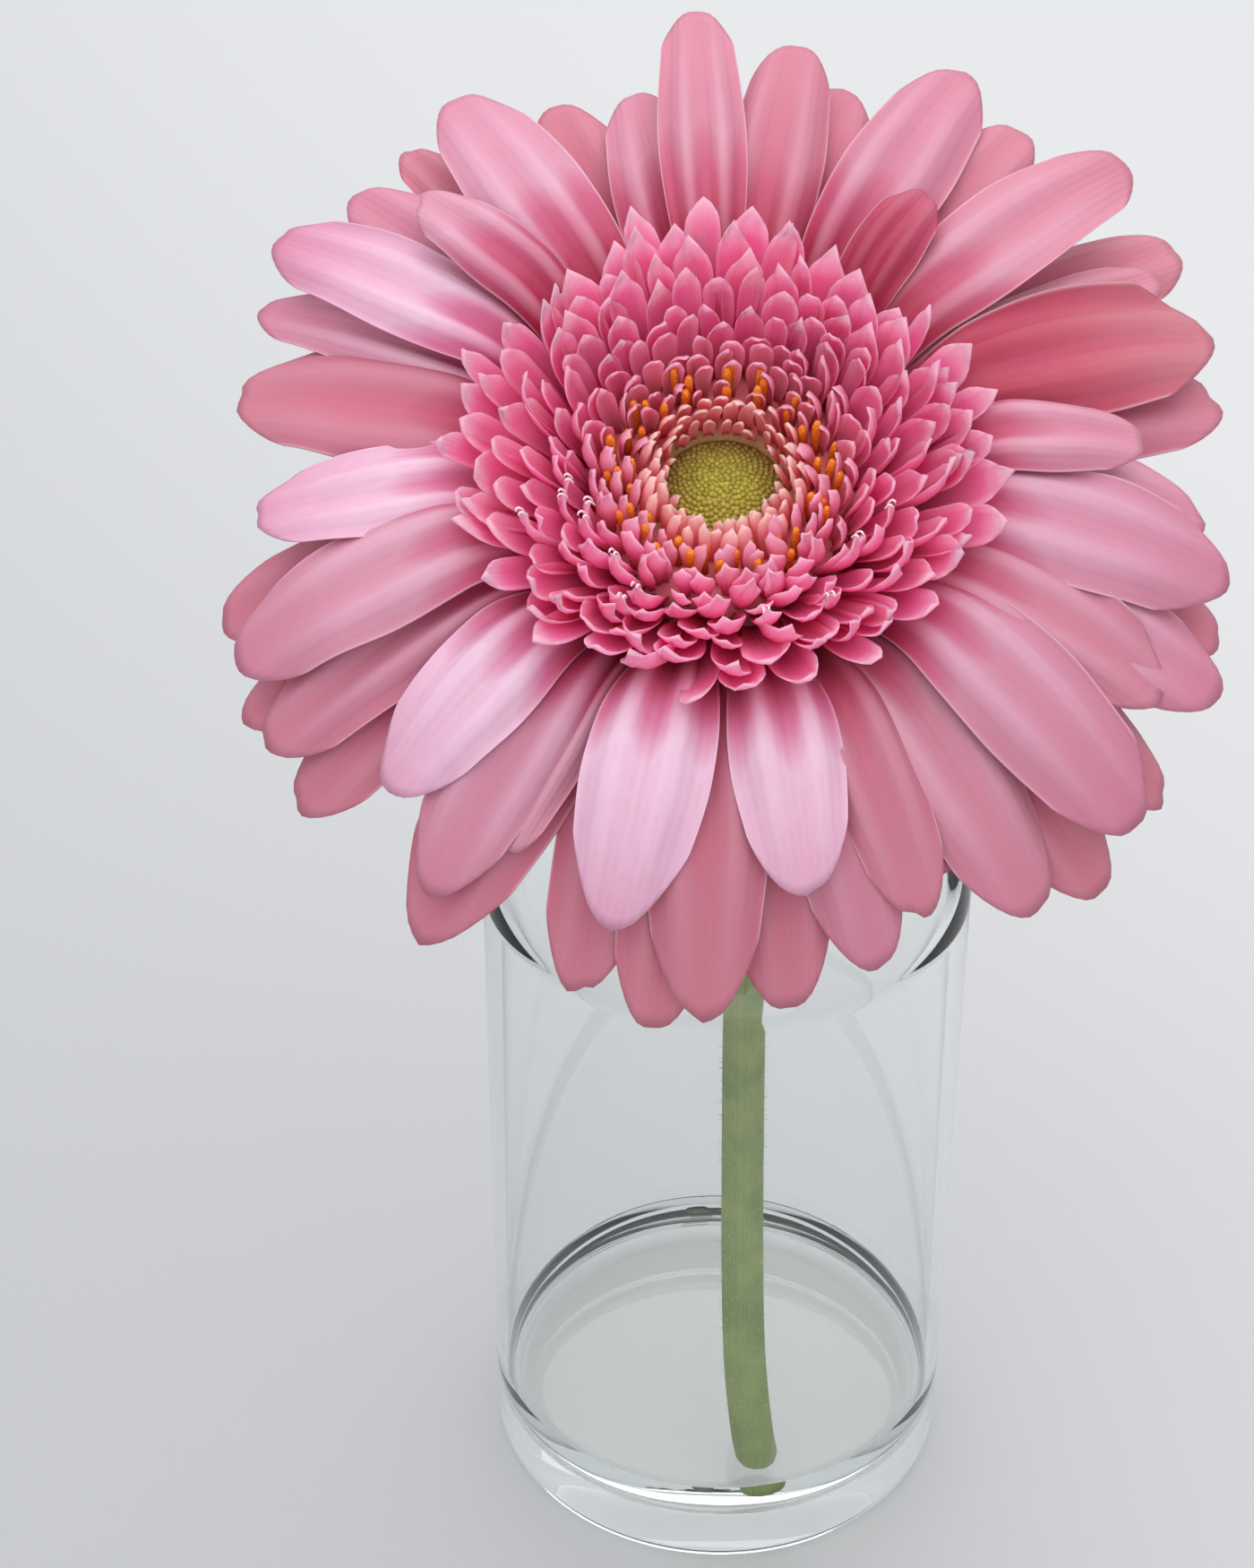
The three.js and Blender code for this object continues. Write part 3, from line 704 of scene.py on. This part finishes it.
def make_stem():
    """The scape is a tube along its line: radius R (1 + 0.018 cos 11 t), with shallow ribs, a little
    thinner halfway up, and a blunt foot."""
    line = stem_line()
    right, back = tube_frame(line)
    share = np.linspace(0, 1, len(line))[:, None]
    turn = np.linspace(0, 2 * np.pi, 67)[None, :]
    radius = STEM_RADIUS * (1 + 0.018 * np.cos(11 * turn)) * (1 - 0.05 * np.sin(np.pi * share))
    radius = radius * (1 - 0.12 * (1 - smooth(share, 0.0, 0.012)))
    rows = line[:, None] + radius[..., None] * (
        np.cos(turn)[..., None] * right[:, None] + np.sin(turn)[..., None] * back[:, None])
    ends = [np.repeat(line[i][None, None], turn.size, 1) for i in (0, -1)]
    points = np.concatenate([ends[0], rows, ends[1]])
    count = len(points)
    uv = np.stack(np.broadcast_arrays(turn / (2 * np.pi), np.linspace(0, 1, count)[:, None]), -1)
    finish = green_finish("stem_green", "6E8446", "8FA05C", 33)
    make_piece(
        "scape", points.reshape(-1, 3), grid_quads(count, turn.size), finish, ["stem"],
        uv.reshape(-1, 2),
    )


def make_hairs():
    """Short fine hairs all over the scape above the water: three-sided cones that lean upwards."""
    draw = np.random.default_rng(3)
    line = stem_line()
    right, back = tube_frame(line)
    where = draw.uniform(0.07, 0.985, HAIR_COUNT) * (len(line) - 1)
    low = where.astype(int)
    part = (where - low)[:, None]
    middle = line[low] * (1 - part) + line[low + 1] * part
    turn = draw.uniform(0, 2 * np.pi, HAIR_COUNT)[:, None]
    out = np.cos(turn) * right[low] + np.sin(turn) * back[low]
    along = np.cross(right[low], back[low])
    root = middle + out * STEM_RADIUS * 0.93
    length = draw.uniform(0.5, 1.0, (HAIR_COUNT, 1))
    tip = root + out * length + along * draw.uniform(-0.1, 0.5, (HAIR_COUNT, 1))
    beside = np.cross(out, along)
    corner = np.array([0, 2 * np.pi / 3, 4 * np.pi / 3, 0])[None, :, None]
    ring = root[:, None] + HAIR_RADIUS * (np.cos(corner) * beside[:, None] + np.sin(corner) * along[:, None])
    point = np.repeat(tip[:, None], 4, 1)
    foot = np.repeat(root[:, None], 4, 1)
    points = np.stack([foot, ring, point], 1).reshape(-1, 3)
    faces = many_grids(HAIR_COUNT, 3, 4)
    finish = plain_finish("stem_hair", srgb("C9CFA8"), 0.6, 0.9)
    make_piece("scape_hairs", points, faces, finish)


def cup_radius(share):
    """The cup's radius at a share of its height: a quarter sine wave to the power 0.8."""
    start = STEM_RADIUS + 0.4
    return start + (CUP_RADIUS - start) * np.sin(np.pi / 2 * np.clip(share, 0, 1)) ** 0.8


def make_cup():
    """The cup under the bloom, which opens from the scape to the ring that the petals grow from."""
    share = np.linspace(0, 1, 20)
    wall = np.stack([cup_radius(share), CUP_FOOT + (CUP_TOP + 0.6 - CUP_FOOT) * share], -1)
    outline = np.concatenate([[[0, CUP_FOOT]], wall, [[0, CUP_TOP + 0.6]]])
    points, faces, uv = lathe(outline, 64)
    finish = green_finish("cup_green", "5E7238", "7E9150", 40)
    make_piece("cup", in_world(points), faces, finish, ["stem"], uv)


def make_bracts():
    """Narrow pointed bracts in rows on the cup. Each is a blade that follows the cup's side with its
    tip a little off it: half width = w/2 (1 - s^2.2) (0.75 + 0.5 s), bent round by the cup's radius."""
    draw = np.random.default_rng(11)
    share = np.linspace(0, 1, 12)[None, :, None]
    u = np.sin(np.linspace(-np.pi / 2, np.pi / 2, 7))[None, None, :]
    sheets = []
    for depth, (count, low, high, width) in enumerate(BRACT_ROWS):
        turn = (2 * np.pi * (np.arange(count) + 0.5 * depth) / count)[:, None, None]
        turn = turn + draw.uniform(-0.05, 0.05, turn.shape)
        reach = low + (high - low) * share * draw.uniform(0.92, 1.0, turn.shape)
        height = CUP_FOOT + (CUP_TOP - CUP_FOOT) * reach
        off = 0.35 + 0.15 * depth + 0.9 * share ** 3 * draw.uniform(0.4, 1.0, turn.shape)
        radius = cup_radius(reach) + off
        half = width / 2 * np.maximum(1 - share ** 2.2, 0.03) * (0.75 + 0.5 * share)
        bend = half * u / radius
        keel = 0.22 * (1 - u ** 2)
        faces = []
        for inset in (0.0, BRACT_THICKNESS):
            r = radius + keel - inset
            at = turn + bend
            faces.append(np.stack([r * np.sin(at), r * np.cos(at), height + 0 * bend], -1))
        sheets.append(faces)
    upper = np.concatenate([s[0] for s in sheets])
    lower = np.concatenate([s[1] for s in sheets])
    points, faces = shells(lower, upper)
    uv = blade_uv(u, share, len(upper))
    finish = green_finish("bract_green", "56702F", "8A9B55", 6)
    make_piece("bracts", in_world(points), faces, finish, ["stem"], uv)


def blade_uv(u, v, count):
    """The map of blades: 0 to 1 across in the first number and along in the second, on both faces."""
    size = (count, v.shape[1], u.shape[2])
    one = np.stack([np.broadcast_to((u + 1) / 2, size), np.broadcast_to(v, size)], -1)
    return np.tile(one.reshape(count, 1, -1, 2), (1, 2, 1, 1)).reshape(-1, 2)


# ---- Bloom ----

def ray_height(radius, turn, drop):
    """Up from the bed by a quarter sine wave to a crown, then down by a dip that grows with the square
    of the distance. Petals on the low side dip more, and each layer lies lower by its drop."""
    rise = np.sin(np.pi / 2 * np.clip((radius - RAY_ROOT) / RAY_RISE_LENGTH, 0, 1))
    dip = MEAN_DIP - DIP_CHANGE * np.cos(turn)
    past = np.maximum(0, radius - DIP_START) / DIP_LENGTH
    root = RAY_ROOT_HEIGHT - 0.3 * drop
    return root + (RAY_CROWN - drop - root) * rise - dip * past ** 2


def make_ray_layer(name, layer, depth, pale):
    """One layer of ray petals. Along a petal v runs from 0 to 1 and across it u from -1 to 1.
    half width = w/2 (0.36 + 0.64 sin(pi/2 v/0.62)), narrowed by a fifth towards the tip;
    length share = v - v^3 e(u), where e rounds the tip and cuts small soft notches in it;
    lift = -0.16 half u^2 + ribs + waves near the edge + a roll of one edge + a twist."""
    draw = np.random.default_rng(70 + depth)
    degrees, reach, width = (np.array(column, float)[:, None, None] for column in zip(*layer))
    count = len(layer)
    turn = np.radians(degrees)
    index = np.arange(count)[:, None, None]
    drop = depth * RAY_LAYER_STEP + (index % 2) * RAY_NEIGHBOUR_STEP

    def vary(low, high):
        return draw.uniform(low, high, (count, 1, 1))

    v = np.linspace(0, 1, RAY_ROWS)[None, :, None]
    u = np.sin(np.linspace(-np.pi / 2, np.pi / 2, RAY_COLUMNS))[None, None, :]
    length = reach - RAY_ROOT
    point = vary(0.05, 0.4)
    round_end = (1 - point) * (1 - np.sqrt(1 - 0.985 * u ** 2)) + point * np.abs(u) ** 1.5 * 1.2
    end = round_end * width / 2 * 1.15 / length
    for _ in range(2):
        end = end + vary(0.0, 0.5) / length * np.exp(-((u - vary(-0.3, 0.3)) / 0.22) ** 2)
    share = v - v ** 3 * end
    radius = RAY_ROOT + length * share
    swell = 0.36 + 0.64 * np.sin(np.pi / 2 * np.minimum(1, share / 0.62))
    half = width / 2 * swell * (1 - 0.22 * smooth(share, 0.6, 1.0))
    ends = smooth(share, 0.66, 1.0) ** 1.5
    height = ray_height(radius, turn, drop) - vary(-0.3, 1.3) * ends
    step = 0.01
    slope = (ray_height(radius + step, turn, drop) - ray_height(radius, turn, drop)) / step
    ribs = -np.cos(np.pi * vary(1.8, 2.4) * u + vary(-0.6, 0.6))
    ribs = ribs * np.sin(np.pi * np.minimum(1, share * 0.75 + 0.2))
    waves = np.abs(u) ** 3 * np.sin(2 * np.pi * (vary(1.3, 2.6) * share + vary(0, 1)))
    waves = waves * smooth(share, 0.2, 0.8)
    free = 1.0 if depth <= 0 else 0.3
    roll = free * np.where(vary(0, 1) < 0.35, vary(0.8, 2.2), 0) * (
        np.maximum(0, u * np.sign(vary(-1, 1)) - 0.55) / 0.45) ** 2 * smooth(share, 0.25, 0.7)
    side = half * u + vary(-1.3, 1.3) * share ** 2
    lift = -0.16 * half * u ** 2 + vary(0.45, 0.8) * ribs + 0.35 * waves + roll
    lift = lift + side * np.tan(vary(-0.16, 0.16) * (0.4 + 0.6 * free) * share)
    thin = RAY_THICKNESS * (0.35 + 0.65 * (1 - u ** 2))
    faces = [blade_points(turn, radius, height, slope, side, lift - drop_by) for drop_by in (0, thin)]
    points, quads = shells(*faces)
    tint = np.repeat(draw.uniform(0, 1, count), 2 * RAY_ROWS * RAY_COLUMNS)
    under = np.tile(np.repeat([0.0, 1.0], RAY_ROWS * RAY_COLUMNS), count)
    # pale: partly the petal's own tone, partly painted light and sheen
    pale = np.broadcast_to(pale, count)[:, None, None]
    # Painted shade: on the far side the deep rose of the base reaches further out, standing for the florets'
    # shadow
    out = (radius - RAY_ROOT) / 40 - FAR_SIDE_PAINTED_SHADE * smooth(np.cos(turn), 0.2, 0.9)
    shown = {"ridge": ribs, "out": out, "pale": pale}
    numbers = {"tint": tint, "under": under}
    for key, values in shown.items():
        one_face = np.broadcast_to(values, (count, RAY_ROWS, RAY_COLUMNS)).reshape(count, 1, -1)
        numbers[key] = np.tile(one_face, (1, 2, 1)).ravel()
    make_piece(
        name, in_world(points), quads, PETAL, ["ray_petals"], blade_uv(u, v, count), numbers,
    )


def disc_spread(turn):
    """How far the florets reach out at a turn, as a share: 1, less two bell curves, because the disc is
    drawn in towards the upper right and the upper left."""
    share = 1.0
    for middle, depth, width in DISC_DENTS:
        away = np.mod(turn - np.radians(middle) + np.pi, 2 * np.pi) - np.pi
        share = share - depth * np.exp(-(away / np.radians(width)) ** 2)
    return share


def floret_ring(ring, draw, rows, columns, root_height, phase, loose, foot):
    """One ring of florets as (points, faces, map, tips, numbers). A floret's middle line is a quadratic
    Bezier from its root, which lies low at first and then stands up. Its section is a shallow trough,
    c half u^2, its lip turns up all round the end, by the distance (|u|^3 + t^4)^(1/3) from the middle,
    and the end hooks up by k t^2.5 and bends aside, where t runs from 0 to 1 over its outer half."""
    count, root, tip, height, width, hook = ring
    spread = (count, 1, 1)
    turn = 2 * np.pi * (np.arange(count)[:, None, None] + phase + draw.uniform(-0.12, 0.12)) / count
    turn = turn + draw.uniform(-0.28, 0.28, spread) * 2 * np.pi / count * loose
    tip = tip + draw.uniform(-1.2, 0.8, spread) * loose
    outwards = np.maximum(tip - root, 0)
    tip = tip - outwards * (1 - disc_spread(turn))
    height = height + draw.uniform(-0.7, 0.7, spread) * loose
    width = width * draw.uniform(0.75, 1.15, spread)
    v = 1 - (1 - np.linspace(0, 1, rows)[None, :, None]) ** 1.4
    u = np.sin(np.linspace(-np.pi / 2, np.pi / 2, columns))[None, None, :]
    knee_out = root + (tip - root) * 0.52
    knee_up = root_height + (height - root_height) * draw.uniform(0.5, 0.66, spread)
    length = np.hypot(tip - root, height - root_height)
    sharp = draw.uniform(0.0, 0.42, spread) * smooth(tip, 9, 18)
    round_end = (1 - sharp) * (1 - np.sqrt(1 - 0.97 * u ** 2)) + sharp * np.abs(u) ** 1.3 * 1.2
    beak = draw.uniform(0.05, 0.32, spread) * np.exp(-(u / 0.3) ** 2)
    end = (round_end * (1.05 + sharp) / 2 - beak) * width / length
    s = v - v ** 3 * end
    radius = (1 - s) ** 2 * root + 2 * s * (1 - s) * knee_out + s ** 2 * tip
    rise = (1 - s) ** 2 * root_height + 2 * s * (1 - s) * knee_up + s ** 2 * height
    run = 2 * (1 - s) * (knee_out - root) + 2 * s * (tip - knee_out)
    climb = 2 * (1 - s) * (knee_up - root_height) + 2 * s * (height - knee_up)
    slope = climb / np.where(np.abs(run) < 0.05, 0.05 * np.sign(tip - root), run)
    half = width / 2 * (foot + (1 - foot) * smooth(s, 0.0, 0.62)) * (1 - 0.2 * smooth(s, 0.75, 1.0))
    t = np.clip((s - 0.5) / 0.5, 0, 1)
    edge = (np.abs(u) ** 3 + t ** 4) ** (1 / 3)
    skew = 1 + draw.uniform(-0.8, 0.8, spread) * u
    lip = draw.uniform(0.15, 0.5, spread) * loose * smooth(edge, 0.3, 1.2) * skew
    facing = np.sign(tip - root)
    trough = draw.uniform(0.08, 0.36, spread) * loose
    beaked = 1 + 0.6 * np.exp(-(u / 0.4) ** 2) * t ** 4
    hooked = hook * draw.uniform(0.4, 1.3, spread) * t ** 2.5 * beaked
    lift = half * (trough * u ** 2 + lip) + hooked
    twist = draw.uniform(-0.45, 0.45, spread) * loose
    bent = half * u * (1 - 0.25 * lip) + draw.uniform(-0.7, 0.7, spread) * loose * t ** 2
    side = bent * np.cos(twist) - lift * np.sin(twist)
    lift = bent * np.sin(twist) + lift * np.cos(twist)
    thin = FLORET_THICKNESS * (0.5 + 0.5 * (1 - u ** 2))
    upper, lower = (
        blade_points(turn, radius, rise, slope, side, (lift - inset) * facing) for inset in (0, thin))
    flip = np.broadcast_to(facing < 0, spread).ravel()
    upper[flip], lower[flip] = upper[flip][:, :, ::-1], lower[flip][:, :, ::-1]
    points, quads = shells(upper, lower)
    size = rows * columns
    numbers = {
        "tint": np.repeat(draw.uniform(0, 1, count), 2 * size),
        "under": np.tile(np.repeat([0.0, 1.0], size), count),
        "heart": np.repeat(1 - smooth(tip.ravel(), 11.5, 19.0), 2 * size),
    }
    return points, quads, blade_uv(u, s, count), upper[:, -1, columns // 2], numbers


def make_florets(name, rings, seed, finish, node, loose=1.0, foot=0.42):
    """Rings of florets as one piece. Returns the places of their tips in the bloom's frame."""
    draw = np.random.default_rng(seed)
    made = []
    for index, ring in enumerate(rings):
        fine = ring[2] > 23
        root_height = -1.0 - max(0, index - 5) * 0.3
        made.append(floret_ring(ring, draw, 10 if fine else 7, 7, root_height, index / 2, loose, foot))
    points, faces = joined([(m[0], m[1]) for m in made])
    uv, tips = (np.concatenate([m[i] for m in made]) for i in (2, 3))
    numbers = {key: np.concatenate([m[4][key] for m in made]) for key in made[0][4]}
    make_piece(name, in_world(points), faces, finish, [node], uv, numbers)
    return tips


def make_bed():
    """The ring and low dome that the florets and petals grow from: a turned body, with painted brown shade
    by the eye, rose under the florets and green at its edge."""
    outline = np.array([
        (0, -6.3), (16.3, -6.3), (16.5, -5.6), (16.3, -4.2), (15.4, -3.0), (14.5, -1.6), (13.0, -0.6),
        (11.0, -0.5), (9.0, -0.9), (7.4, -1.3), (6.9, -2.3), (0, -2.6),
    ])
    points, faces, _ = lathe(outline, 96)
    numbers = {"out": np.hypot(points[:, 0], points[:, 1])}
    finish = Finish("bed_rose")
    cloud = finish.noise(finish.place(), 0.4, 3.0)
    out = finish.number("out") + (cloud - 0.5) * 1.5
    # Painted shade: olive brown by the eye, where the florets lean over the bed, then rose further out
    colour = finish.mix(out.between(6.9, 8.4), srgb("A8824C"), srgb("E8808A"))
    colour = finish.mix(out.between(14.8, 15.8), colour, srgb("6E8444"))
    bed = finish.done(finish.shine(Base_Color=colour, Roughness=0.7))
    make_piece(
        "receptacle", in_world(points), faces, bed, ["trans_florets"], None, numbers)


def make_anthers():
    """Slim anther tubes in rings, each a tube along a leaning line, x = r sin t and y = r cos t, with a
    radius of 0.5 mm times a girth that has a waist and narrows to a blunt top."""
    draw = np.random.default_rng(21)
    v = np.array([0, 0.0, 0.3, 0.6, 0.85, 1.0, 1.0])[None, :, None]
    girth = np.array([0, 1.0, 0.86, 0.9, 0.95, 0.6, 0])[None, :, None]
    around = np.linspace(0, 2 * np.pi, 9)[None, None, :]
    meshes = []
    for count, root, tip, height in ANTHER_RINGS:
        spread = (count, 1, 1)
        turn = 2 * np.pi * (np.arange(count)[:, None, None] + draw.uniform(-0.2, 0.2, spread)) / count
        tall = height + draw.uniform(-0.8, 0.8, spread) + 1.2
        lean = tip - root + draw.uniform(-0.3, 0.3, spread)
        radius = root + lean * v
        wide = ANTHER_RADIUS * girth * draw.uniform(0.85, 1.15, spread)
        r = radius + wide * np.cos(around)
        side = wide * np.sin(around)
        x = r * np.sin(turn) + side * np.cos(turn)
        y = r * np.cos(turn) - side * np.sin(turn)
        h = -1.2 + tall * v + 0 * around
        points = np.stack([x, y, h], -1).reshape(-1, 3)
        meshes.append((points, many_grids(count, v.size, around.size)[:, ::-1]))
    points, faces = joined(meshes)
    total = sum(count for count, *_ in ANTHER_RINGS)
    one = np.stack(np.broadcast_arrays(around[0] / (2 * np.pi), v[0]), -1).reshape(-1, 2)
    make_piece(
        "anther_tubes", in_world(points), faces, anther_finish(), ["anthers"],
        np.tile(one, (total, 1)),
    )


def make_eye():
    """Closed buds in the order of a seed head: bud n at radius 1.07 R sqrt(n / N) and turn n times the
    golden angle, both a little out of place. Each is a small dome, and they stand on a wide one that
    falls by 1.5 (r / R)^2."""
    draw = np.random.default_rng(5)
    number = np.arange(BUD_COUNT) + 0.5
    out = EYE_RADIUS * 1.07 * np.sqrt(number / BUD_COUNT) + draw.uniform(-0.1, 0.1, BUD_COUNT)
    turn = number * np.pi * (3 - np.sqrt(5)) + draw.uniform(-0.12, 0.12, BUD_COUNT) / (out + 0.2)
    bud = BUD_RADIUS * draw.uniform(0.85, 1.15, BUD_COUNT)
    rise = np.radians([-90, -20, 30, 65, 90])[None, :, None]
    around = np.linspace(0, 2 * np.pi, 7)[None, None, :]
    bud = bud[:, None, None]
    x = (out * np.sin(turn))[:, None, None] + bud * np.cos(rise) * np.cos(around)
    y = (out * np.cos(turn))[:, None, None] + bud * np.cos(rise) * np.sin(around)
    dome = (-BUD_RADIUS - 1.5 * (out / EYE_RADIUS) ** 2)[:, None, None]
    h = dome + 0.9 * bud * np.sin(rise) + 0 * around
    points = np.stack([x, y, h], -1).reshape(-1, 3)
    faces = many_grids(BUD_COUNT, rise.size, around.size)
    tint = np.repeat(draw.uniform(0, 1, BUD_COUNT), rise.size * around.size)
    share = np.linspace(0, 1, 14)
    brim = EYE_RADIUS * 1.14
    cap = np.stack([brim * (1 - share), -0.36 - 1.9 * (1 - share) ** 2], -1)
    under = np.array([(0, -3.0), (brim, -3.0)])
    base, base_faces, _ = lathe(np.concatenate([under, cap]), 48)
    points, faces = joined([(points, faces), (base, base_faces)])
    tint = np.concatenate([tint, np.full(len(base), 0.25)])
    # Painted shade: rim grows towards the eye's edge, where the florets lean over it
    rim = smooth(np.hypot(points[:, 0], points[:, 1]), EYE_RADIUS * 0.5, EYE_RADIUS * 1.1)
    make_piece(
        "eye_buds", in_world(points), faces, eye_finish(), ["eye"], None,
        {"tint": tint, "rim": rim},
    )


def make_curls(tips):
    """Pairs of fine pale curls on some of the near florets, each rooted just below a floret's tip: tubes
    of radius 0.13 mm along a hooked line that turns over by more than half a circle."""
    draw = np.random.default_rng(33)
    out = np.hypot(tips[:, 0], tips[:, 1])
    at = np.mod(np.degrees(np.arctan2(tips[:, 0], tips[:, 1])), 360)
    near = np.flatnonzero((at > 100) & (at < 260) & (out > 14.5) & (out < 22.5))
    chosen = np.repeat(draw.choice(near, CURL_COUNT, replace=False), 2)
    count = CURL_COUNT * 2
    v = np.linspace(0, 1, 10)[None, :, None]
    around = np.linspace(0, 2 * np.pi, 6)[None, None, :]
    which = np.tile([-0.28, 0.28], CURL_COUNT)[:, None, None]
    turn = np.radians(at[chosen])[:, None, None]
    angle = np.pi * (0.1 + 1.15 * v)
    bow = draw.uniform(0.35, 0.55, (count, 1, 1))
    radius = out[chosen][:, None, None] - 0.3 + bow * (1 - np.cos(angle))
    height = tips[chosen, 2][:, None, None] - 1.0 + 1.3 * np.minimum(v * 2.2, 1) + bow * np.sin(angle)
    wide = CURL_RADIUS * np.sqrt(np.clip(1.02 - v ** 4, 0, 1)) * np.where((v == 0) | (v == 1), 0, 1)
    r = radius + wide * np.cos(around)
    side = which + wide * np.sin(around)
    x = r * np.sin(turn) + side * np.cos(turn)
    y = r * np.cos(turn) - side * np.sin(turn)
    points = np.stack([x, y, height + 0 * around], -1).reshape(-1, 3)
    faces = many_grids(count, v.size, around.size)[:, ::-1]
    finish = plain_finish("curl_white", srgb("F8D6DE"), 0.5, 0.92)
    make_piece("lip_curls", in_world(points), faces, finish)


# ---- Stage ----

def make_stage():
    """A wide pale floor with painted light, a little lighter towards the far right, under an even sky, with
    three lamps.
    """
    bpy.ops.mesh.primitive_plane_add(size=6.0, location=(0, 0, -0.00005))
    floor = bpy.context.object
    floor.name = "floor"
    finish = Finish("pale_floor")
    axes = finish.place()
    side = finish.add("SeparateXYZ", {0: axes}) + finish.add("SeparateXYZ", {0: axes}, output=1) * 0.7
    # Painted light: the floor's colour grows lighter from the near left to the far right
    shade = finish.mix(side.between(-260.0, 330.0), FLOOR_NEAR_LEFT, FLOOR_FAR_RIGHT)
    floor.data.materials.append(finish.done(finish.shine(Base_Color=shade, Roughness=0.6)))
    world = bpy.data.worlds.new("sky")
    bpy.context.scene.world = world
    world.use_nodes = True
    background = world.node_tree.nodes["Background"]
    background.inputs["Color"].default_value = SKY_COLOUR
    background.inputs["Strength"].default_value = SKY_STRENGTH
    for lamp in LAMPS:
        add_light(*lamp)


def add_light(name, place, size, power, seen):
    """A square soft light that faces the bloom. It lights what is behind glass, seen through it or not."""
    light = bpy.data.lights.new(name, "AREA")
    light.size = size
    light.energy = power
    lamp = bpy.data.objects.new(name, light)
    bpy.context.scene.collection.objects.link(lamp)
    lamp.location = place
    target = EYE_PLACE * MM
    away = np.array(place) - target
    lamp.rotation_euler = (math.acos(away[2] / np.linalg.norm(away)), 0, math.atan2(away[0], -away[1]))
    lamp.visible_transmission = seen


def make_camera():
    camera = bpy.data.cameras.new("camera")
    camera.sensor_fit = "VERTICAL"
    camera.sensor_height = SENSOR_HEIGHT
    camera.lens = LENS
    camera.clip_start = 0.01
    holder = bpy.data.objects.new("camera", camera)
    bpy.context.scene.collection.objects.link(holder)
    holder.location = CAMERA_PLACE
    holder.rotation_euler = (CAMERA_TILT, 0, 0)
    bpy.context.scene.camera = holder
    bpy.context.scene.view_settings.view_transform = "Standard"


PETAL = petal_finish()
make_camera()
make_stage()
make_bottle()
make_water()
make_stem()
make_hairs()
make_cup()
make_bracts()
make_bed()
make_ray_layer("short_rays", SHORT_RAYS, -1, SHORT_PALE)
make_ray_layer("front_rays", FRONT_RAYS, 0, FRONT_PALE)
make_ray_layer("middle_rays", MIDDLE_RAYS, 1, MIDDLE_PALE)
make_ray_layer("back_rays", BACK_RAYS, 2, BACK_PALE)
FLORET_TIPS = make_florets(
    "trans_florets_ring", FLORET_RINGS, 14, floret_finish(), "trans_florets")
make_florets(
    "inner_florets_ring", INNER_RINGS, 15, salmon_finish(), "inner_florets", 0.8, 0.75)
make_anthers()
make_eye()
make_curls(FLORET_TIPS)
